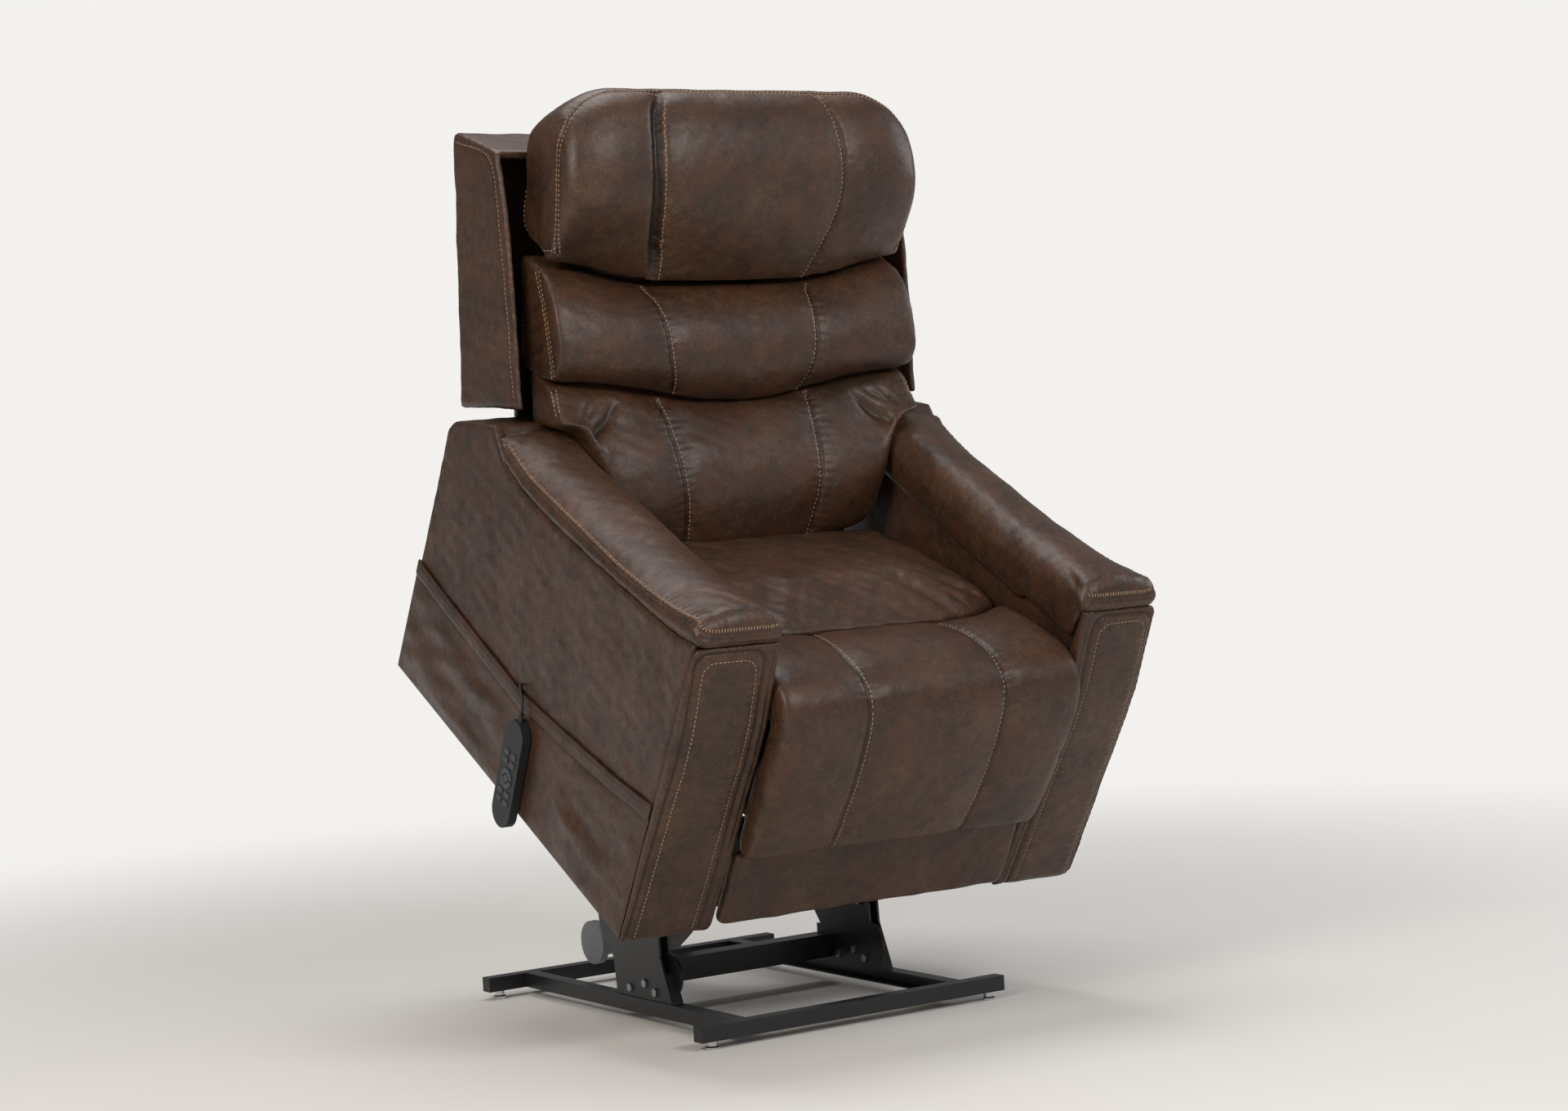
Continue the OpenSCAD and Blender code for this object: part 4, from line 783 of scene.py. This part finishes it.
def arm_pad(side, word):
    """The arm's padded top: crowned, with a cross-stitched edge outside and a side that falls to the seat."""
    table = np.array(PAD, float)
    ys = np.concatenate([[1, 3, 7, 13], np.arange(21, 655, 12), [655, 662]])
    rings = []
    for y in ys:
        low, top, inner, crown = (np.interp(y, table[:, 0], table[:, k]) for k in range(1, 5))
        h = top - low
        seat = low if y < 20 else 487
        foot = low if y < 20 else 477 if y < 165 else 463
        # The corner turns round in plan at the front.
        cut = 22 * (1 - math.sqrt(max(0.0, 1 - max(0.0, (23 - y) / 22) ** 2)))
        ring = [[441 - cut, low], [444 - cut, low + 0.3 * h], [443.5 - cut, low + 0.75 * h], [438 - cut, top],
                [418 - cut, top + 0.42 * crown], [390, top + 0.8 * crown], [355, top + crown],
                [inner + 32, top + 0.86 * crown], [inner + 12, top + 0.35 * crown], [inner + 1, low + 0.55 * h],
                [inner, 0.5 * (low + foot)], [inner + 4, foot], [303, foot], [304.5, max(seat - 3, foot)],
                [314, seat], [423 - cut, seat], [424 - cut, low]]
        rings.append([[side * x / 1000, y / 1000, z / 1000] for x, z in ring])
    piece = ring_loft("arm_pad_cover_" + word, rings)
    tops = [[y, np.interp(y, table[:, 0], table[:, 2]), np.interp(y, table[:, 0], table[:, 1])]
            for y in (640, 560, 500, 392, 258, 135, 66, 34, 24)]
    edge = [[side * 440, y, z + 1] for y, z, _ in tops] + [[side * 432, 9, 562], [side * 418, 3, 560],
                                                         [side * 390, 1, 560], [side * 340, 1, 560],
                                                         [side * 306, 2, 560], [side * 290, 10, 558]]
    foot = [[side * 445, y, low + 4] for y, _, low in tops] + [[side * 436, 6, 540], [side * 420, 0, 539],
                                                             [side * 350, 0, 539], [side * 296, 1, 539]]
    rim = [[side * 442, y, z - 6] for y, z, _ in tops] + [[side * 434, 7, 554], [side * 420, 1, 554],
                                                        [side * 350, 0, 554], [side * 300, 1, 554],
                                                        [side * 289, 8, 550]]
    seams = [seam(edge, depth=1.6, width=2.6, pull=1, reach=8, gather=0.9, stitches=(-side * 5.5,), pitch=5.2,
                  across=True),
             seam(rim, depth=2.0, width=2.0, pull=0, gather=0, stitches=()),
             seam(foot, depth=1.8, width=2.2, pull=0, gather=0, stitches=())]
    cover(piece, "arm_pad_" + word, "chassis", seams, cap=0.006, pressure=3, voxel=0.006, uneven=1.2,
          hold=lambda co, ways: (ways[:, 2] < 0.3) | (co[:, 1] < 24))


def front_panel(side, word):
    """The arm's front: a padded panel with a sewn border, framed along the inner side by a double band."""
    stations = np.array([[0, 6, 279], [14, -2, 279], [81, -7, 280], [190, -11, 282], [276, -15, 284],
                         [330, -19, 285], [401, -18, 287], [466, -9, 288], [515, -1, 289], [535, 1, 290]], float)
    zs = np.concatenate([[0, 3, 8, 14], np.arange(24, 512, 12), [518, 525, 531, 534.6]])
    rings = []
    for z in zs:
        f, i = (np.interp(z, stations[:, 0], stations[:, k]) for k in (1, 2))
        o = 444.0 - 18 * (1 - math.sqrt(1 - min(1.0, max(0.0, (z - 517) / 18)) ** 2))
        d = 13.7 - f
        ring = [[i + 2, 13.7], [i, 13.7 - 0.25 * d], [i + 1, f + 0.3 * d], [i + 6, f + 0.06 * d], [i + 24, f],
                [o - 30, f], [o - 10, f + 0.06 * d], [o, f + 0.3 * d], [o, 13.7]]
        rings.append([[side * x / 1000, y / 1000, z / 1000] for x, y in ring])
    piece = ring_loft("arm_front_cover_" + word, rings)

    def frame_line(inset, outer, top, bottom=6):
        """A line up the inner side, round the upper corners and, where outer is given, down the outer side."""
        inner = [[side * (np.interp(z, stations[:, 0], stations[:, 2]) + inset), -30, z]
                 for z in (bottom, 81, 190, 276, 330, 401, 460)]
        i = np.interp(500, stations[:, 0], stations[:, 2]) + inset
        round_in = [[side * (i + 24 - 24 * math.cos(t)), -30, top - 24 + 24 * math.sin(t)]
                    for t in np.linspace(0, math.pi / 2, 5)]
        round_out = [[side * (outer - 20 + 20 * math.sin(t)), -30, top - 20 + 20 * math.cos(t)]
                     for t in np.linspace(0, math.pi / 2, 5)]
        down = [[side * outer, -30, z] for z in (420, 330, 190, 81, bottom)]
        return inner + round_in + [[side * 360, -30, top]] + round_out + down

    band = [[side * (np.interp(z, stations[:, 0], stations[:, 2]) + 13), -30, z]
            for z in (6, 81, 190, 276, 330, 401, 466, 505, 524, 533)]
    seams = [seam(frame_line(26, 437, 525), cast=(0, 1, 0), depth=3.2, width=2.6, pull=3, reach=9, gather=0.2,
                  stitches=()),
             seam(band, cast=(0, 1, 0), depth=2.4, width=2.0, pull=0, gather=0, stitches=()),
             seam(frame_line(40, 424, 511, 12), cast=(0, 1, 0), depth=1.0, width=2.4, pull=0.8, reach=8, gather=0.7,
                  stitches=(0.0,), pitch=7.5)]
    cover(piece, "front_panel_" + word, "chassis", seams, voxel=0.0045, uneven=0.8, cloth=False)


# ---------------------------------------------------------------- panels

REAR_TOP = [[668, 534], [688, 545], [790, 500], [810, 486], [820, 470], [823, 455]]
MOUTH = [[823, 216], [698, 209], [541, 202], [421, 198], [258, 217], [129, 233], [14, 254]]


def slab(name, outline, x0, x1, side=1):
    """A flat board between two heights of x, from its (y, z) outline."""
    n = len(outline)
    points = [[side * x / 1000, y / 1000, z / 1000] for x in (x0, x1) for y, z in outline]
    faces = [tuple(range(n)), tuple(range(n, 2 * n))]
    faces += [(i, (i + 1) % n, n + (i + 1) % n, n + i) for i in range(n)]
    piece = mesh_piece(name, points, faces)
    recalc(piece)
    return piece


def join(name, parts):
    """Makes the parts one piece."""
    bpy.ops.object.select_all(action="DESELECT")
    for part in parts:
        part.select_set(True)
    bpy.context.view_layer.objects.active = parts[0]
    bpy.ops.object.join()
    parts[0].name = name
    parts[0].data.name = name
    return parts[0]


def side_panel(side, word):
    """The arm's outer side and its rear end."""
    top = [[s[0], s[1] - 0.6] for s in PAD if s[0] > 16]
    edge = [[823, 2], [15, 2], [15, 534]] + top + REAR_TOP
    rear = [[806, 487.5], [668, 487.5], [668, 531]] + REAR_TOP[1:] + [[823, 4], [806, 4]]
    if side > 0:
        parts = [slab("skin", edge, 425.5, 440.5), slab("rear", rear, 306, 430)]
    else:
        # The upper part's leather goes on down behind the pocket's mouth.
        above = [[y, z - 12] for y, z in MOUTH] + [[15, 534]] + top + REAR_TOP
        behind = [[y, z - 60] for y, z in MOUTH] + [[y, z + 20] for y, z in MOUTH[::-1]]
        parts = [slab("upper", above, 427, 440.3, -1), slab("behind", behind, 425.6, 434, -1),
                 slab("rear", rear, 306, 430, -1)]
    piece = join("arm_side_cover_" + word, parts)
    cover(piece, "side_panel_" + word, "chassis", [], voxel=0.0046, cloth=False, uneven=1.4, level=0)


def dress(piece, node, angle):
    """Raises a finished body piece to its place, smooths all but its sharp edges and covers it in leather."""
    piece.data.transform(RAISED)
    only(piece)
    bpy.ops.object.shade_smooth_by_angle(angle=angle)
    piece.data.materials.clear()
    piece.data.materials.append(leather)
    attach(piece, "chassis")
    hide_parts(node)


def pocket():
    """The side pocket: a soft front with a turned hem, closed below and at both ends by a narrow wall."""
    mouth = np.array(MOUTH[::-1], float)
    ys = np.linspace(15.2, 822.6, 136)
    steps = 46
    points = []
    for y in ys:
        high = np.interp(y, mouth[:, 0], mouth[:, 1])
        for v in np.concatenate([np.linspace(0, 1 - 34 / high, steps - 12)[:-1], np.linspace(1 - 34 / high, 1, 13)]):
            points.append([y, 4 + v * (high - 4), high])
    grid = np.array(points)
    y, z, high = grid.T
    below = high - z
    edge = np.clip(np.minimum(np.minimum(y - 15, 823 - y) / 30, (z - 4) / 26), 0, 1)
    # It lies close where the handset hangs and stands off in slack folds beside it.
    hang = np.abs((y - 397) * 0.866 - (z - 174) * 0.5)
    free = np.clip((hang - 46) / 60, 0, 1) * edge * np.clip((below - 27) / 40, 0, 1)
    flat = np.column_stack([y, z, 0 * y])
    fold = noise(flat * [1, 2.1, 1], 230, 5) * 3.2 + noise(flat * [1, 2.6, 1], 90, 8) * 1.3
    slack = 4.2 * np.exp(-(((y - 200) / 120) ** 2 + ((z - 95) / 60) ** 2)) + 3 * np.exp(
        -(((y - 620) / 150) ** 2 + ((z - 110) / 60) ** 2))
    ridge = 2.6 * np.exp(-((z - 84 - 0.14 * (y - 200)) / 13) ** 2) * np.exp(-((y - 210) / 95) ** 2)
    dip = 3.0 * np.exp(-((z - 118 - 0.2 * (y - 200)) / 15) ** 2) * np.exp(-((y - 190) / 110) ** 2)
    off = np.maximum(free * (slack + fold + ridge - dip + 1.5), -0.4)
    hem = 2.0 * np.clip((29 - below) / 2.5, 0, 1) * np.clip(below / 1.5 + 0.4, 0, 1)
    groove = 1.5 * np.exp(-((below - 28) / 2.4) ** 2) + 0.9 * np.exp(-((below - 5) / 1.6) ** 2)
    x = 441.2 + 2.4 * np.sqrt(edge) + off + hem - groove * edge
    co = np.column_stack([-x, y, z]) / 1000
    rows = len(grid) // len(ys)
    faces = [(i * rows + j, i * rows + j + 1, (i + 1) * rows + j + 1, (i + 1) * rows + j)
             for i in range(len(ys) - 1) for j in range(rows - 1)]
    piece = mesh_piece("side_pocket_cover", co, faces)
    recalc(piece)
    if np.mean([f.normal.x for f in piece.data.polygons]) > 0:
        piece.data.flip_normals()
    apply(piece, "SOLIDIFY", thickness=0.0018, offset=-1)
    wall = [[15.2, 4], [822.6, 4], [822.6, 215], [815, 214.5], [815, 11], [23, 11], [23, 252], [15.2, 254]]
    walls = slab("walls", wall, 429.8, 441.0, -1)
    apply(walls, "BEVEL", width=0.0015, segments=2)
    piece = join("side_pocket_cover", [piece, walls])
    # Painted shade: the fold attribute darkens the outer face along the hem's groove and the groove near the bottom.
    painted_shade_layer = piece.data.attributes.new("fold", "FLOAT", "POINT")
    shade = np.zeros(len(piece.data.vertices))
    place = points_of(piece) * 1000
    gone = np.interp(place[:, 1], mouth[:, 0], mouth[:, 1]) - place[:, 2]
    outside = place[:, 0] < -441.3
    shade[outside] = (0.8 * np.exp(-((gone - 28) / 1.8) ** 2) + 0.5 * np.exp(-((gone - 5) / 1.4) ** 2))[outside]
    painted_shade_layer.data.foreach_set("value", shade.astype(np.float32))
    dress(piece, "side_pocket", 0.7)


def inner_panels():
    """The linings between the seat and the arms, cloth over a thin board."""
    outline = [[14.5, 171], [779, 171], [779, 483], [14.5, 483]]
    piece = join("arm_inner_cover", [slab("inner", outline, 304.9, 308.8, side) for side in (-1, 1)])
    apply(piece, "BEVEL", width=0.0012, segments=3)
    dress(piece, "inner_panels", 0.6)


def lower_rail():
    """The padded rail under the footrest, with the straps and tabs that hold it."""
    ring = [[12 * math.cos(t) - 2, 30 + 12 * math.sin(t)] for t in np.linspace(math.pi, 2 * math.pi, 9)]
    ring += [[10, 86]]
    ring += [[12 * math.cos(t) - 2, 143 + 12 * math.sin(t)] for t in np.linspace(0, math.pi, 9)]
    ring += [[-15, 86]]
    xs = [-277.5, -276, -272, -265, -250] + list(np.arange(-230, 231, 20)) + [250, 265, 272, 276, 277.5]
    rings = []
    for x in xs:
        s = 1 - 0.22 * max(0, (abs(x) - 262) / 15.5) ** 3
        rings.append([[x / 1000, (-2 + (y + 2) * s) / 1000, (86.5 + (z - 86.5) * (0.5 + 0.5 * s)) / 1000]
                      for y, z in ring])
    piece = ring_loft("front_rail_cover", rings)
    parts = [piece]
    for side in (-1, 1):
        parts.append(slab("strap", [[9, 60], [13.5, 60], [13.5, 155], [9, 155]], 151, 189, side))
        parts.append(slab("tab", [[10, 151], [69, 151], [69, 154.6], [10, 154.6]], 151, 189, side))
    piece = join("front_rail_cover", parts)
    cover(piece, "lower_front_rail", "chassis", [], voxel=0.0045, cloth=False, uneven=1.2, level=0)


def apron():
    """The lining across the rear, under the back."""
    piece = slab("rear_apron_cover", [[806, 51], [822.5, 51], [822.5, 149.5], [806, 149.5]], -304, 304)
    cover(piece, "rear_apron", "chassis", [], voxel=0.005, cloth=False, uneven=0.8, level=0, skin=lining)


def shell():
    """The outer back: a rear panel, two wings and a top edge, piped along the wings and down the rear."""
    wing = [[684, 572], [704, 601], [754, 689], [805, 770], [864, 857], [918, 918], [930, 921], [1050, 898],
            [1062, 890], [1062, 880], [864, 484]]
    low, high = np.array([864.0, 482.0]), np.array([1064.0, 886.0])
    down = low - 200 * UP
    rear = [low, high, high + 13 * OUT, low + 13 * OUT]
    centre = [down, low + 4 * UP, low + 4 * UP + 13 * OUT, down + 13 * OUT]
    top = [[922, 922], [1058, 895], [1055, 883], [922, 909]]
    parts = [slab("wing", wing, 388.5, 399.5, side) for side in (-1, 1)]
    parts += [slab("rear", rear, -392, 392), slab("centre", centre, -298, 298), slab("top", top, -392, 392)]
    piece = join("outer_back_cover", parts)
    seams = []
    front = [[700, 585], [716, 607], [764, 685], [815, 764], [873, 850], [924, 906], [1040, 884]]
    for side in (-1, 1):
        seams.append(seam([[side * 401, y + 9, z - 6] for y, z in front], cast=None, depth=1.4, width=2.2, pull=0,
                          gather=0.4, stitches=(4.0 * side,)))
    for x in (-300, 300):
        seams.append(seam([[x, *(low + t * (high - low) - 4 * OUT)] for t in (0.02, 0.5, 0.97)], depth=1.6, width=2.4,
                          pull=0, gather=0.4, stitches=()))
    cover(piece, "back_shell", "back", seams, voxel=0.0045, cloth=False, uneven=1.4, level=0)


headrest()
upper_back()
lower_back()
seat()
seat_front()
for arm_side, arm_word in ((-1, "left"), (1, "right")):
    arm_pad(arm_side, arm_word)
    front_panel(arm_side, arm_word)
    side_panel(arm_side, arm_word)
pocket()
inner_panels()
lower_rail()
apron()
shell()


# ---------------------------------------------------------------- finishes of the frame and mechanism

FINISHES = [
    (steel, "front_crossbar rear_crossbar side_rails base_cross_tube lift_bracket_left lift_bracket_right "
            "front_lift_links rear_lift_links riser_plates seat_frame arm_mounts back_frame headrest_bracket "
            "footrest_carriage"),
    (abs_black, "crossbar_end_caps lift_actuator_housing recline_actuator_housing footrest_actuator power_supply "
                "handset_shell"),
    (abs_grey, "lift_motor"),
    (chrome, "glide_feet lift_actuator_rod recline_actuator_rod"),
    (zinc, "lift_fasteners chassis_pins"),
    (ply, "seat_deck arm_frame_left arm_frame_right footrest_board"),
    (key_rubber, "upper_key_1 upper_key_2 upper_key_3 upper_key_4 ring_key_up ring_key_down ring_key_centre "
                 "lower_key_1 lower_key_2 lower_key_3 lower_key_4"),
]
for finish, names in FINISHES:
    for node_name in names.split():
        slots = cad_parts[node_name].data.materials
        slots.clear()
        slots.append(finish)


# ---------------------------------------------------------------- floor and light

BACKDROP = "#f3f1ee"


def floor():
    """A round pale floor that takes the chair's shadow."""
    bpy.ops.object.select_all(action="DESELECT")
    bpy.ops.mesh.primitive_circle_add(vertices=96, radius=16, fill_type="NGON", location=(0, 0, 0))
    piece = bpy.context.active_object
    piece.name = "floor"
    made = bpy.data.materials.new("pale_studio_floor")
    tree = bare_tree(made)
    place = put(tree, "ShaderNodeTexCoord").outputs["Object"]
    cloud = put(tree, "ShaderNodeTexNoise", {"Vector": place, "Scale": 1.5, "Detail": 4})
    base = put(tree, "ShaderNodeMix", {"Factor": cloud, "A": colour("#e0dcd7"), "B": colour("#e8e5e0")},
               data_type="RGBA")
    skin = put(tree, "ShaderNodeBsdfPrincipled", {"Base Color": base, "Roughness": 0.75})
    # Away from the chair the floor runs into the backdrop's colour with no edge.
    far = put(tree, "ShaderNodeVectorMath", {0: place}, operation="LENGTH").outputs["Value"]
    fade = put(tree, "ShaderNodeMapRange", {"Value": far, "From Min": 0.9, "From Max": 3.4},
               interpolation_type="SMOOTHSTEP")
    rays = put(tree, "ShaderNodeLightPath")
    seen = put(tree, "ShaderNodeMath", {0: rays.outputs["Is Camera Ray"], 1: rays.outputs["Is Glossy Ray"]},
               operation="MAXIMUM")
    share = put(tree, "ShaderNodeMath", {0: fade, 1: seen}, operation="MULTIPLY")
    pale = put(tree, "ShaderNodeEmission", {"Color": colour(BACKDROP), "Strength": 1.0})
    both = put(tree, "ShaderNodeMixShader", {0: share, 1: skin, 2: pale})
    put(tree, "ShaderNodeOutputMaterial", {"Surface": both})
    piece.data.materials.append(made)


def lamp(name, at, aim, size, power, tint):
    """A soft box at a place, turned to its aim: size in metres, power in watts."""
    data = bpy.data.lights.new(name, "AREA")
    data.shape = "RECTANGLE"
    data.size, data.size_y = size
    data.energy = power
    data.color = colour(tint)[:3]
    made = bpy.data.objects.new(name, data)
    made.location = at
    made.rotation_euler = (Vector(aim) - Vector(at)).to_track_quat("-Z", "Y").to_euler()
    scene.collection.objects.link(made)


def light():
    """A plain studio: two windows, a fill and a ceiling panel, under a white world that is seen as the backdrop."""
    world = bpy.data.worlds.new("studio")
    scene.world = world
    tree = bare_tree(world)
    rays = put(tree, "ShaderNodeLightPath")
    plain = put(tree, "ShaderNodeBackground", {"Color": colour("#ffffff"), "Strength": 0.22})
    shown = put(tree, "ShaderNodeBackground", {"Color": colour(BACKDROP), "Strength": 1.0})
    both = put(tree, "ShaderNodeMixShader", {0: rays.outputs["Is Camera Ray"], 1: plain, 2: shown})
    put(tree, "ShaderNodeOutputWorld", {"Surface": both})
    lamp("window_left", (-3.2, -1.6, 2.6), (0, 0, 0.8), (1.3, 1.3), 72, "#fff8f0")
    lamp("window_front", (0.6, -3.8, 2.9), (0, 0, 0.8), (2.0, 0.9), 66, "#ffffff")
    lamp("fill_right", (3.4, -0.6, 2.2), (0, 0, 0.9), (1.2, 1.4), 24, "#f6f9ff")
    lamp("ceiling", (0, 0.5, 3.7), (0, 0, 0.6), (2.2, 2.2), 58, "#ffffff")


floor()
light()
scene.view_settings.view_transform = "Standard"
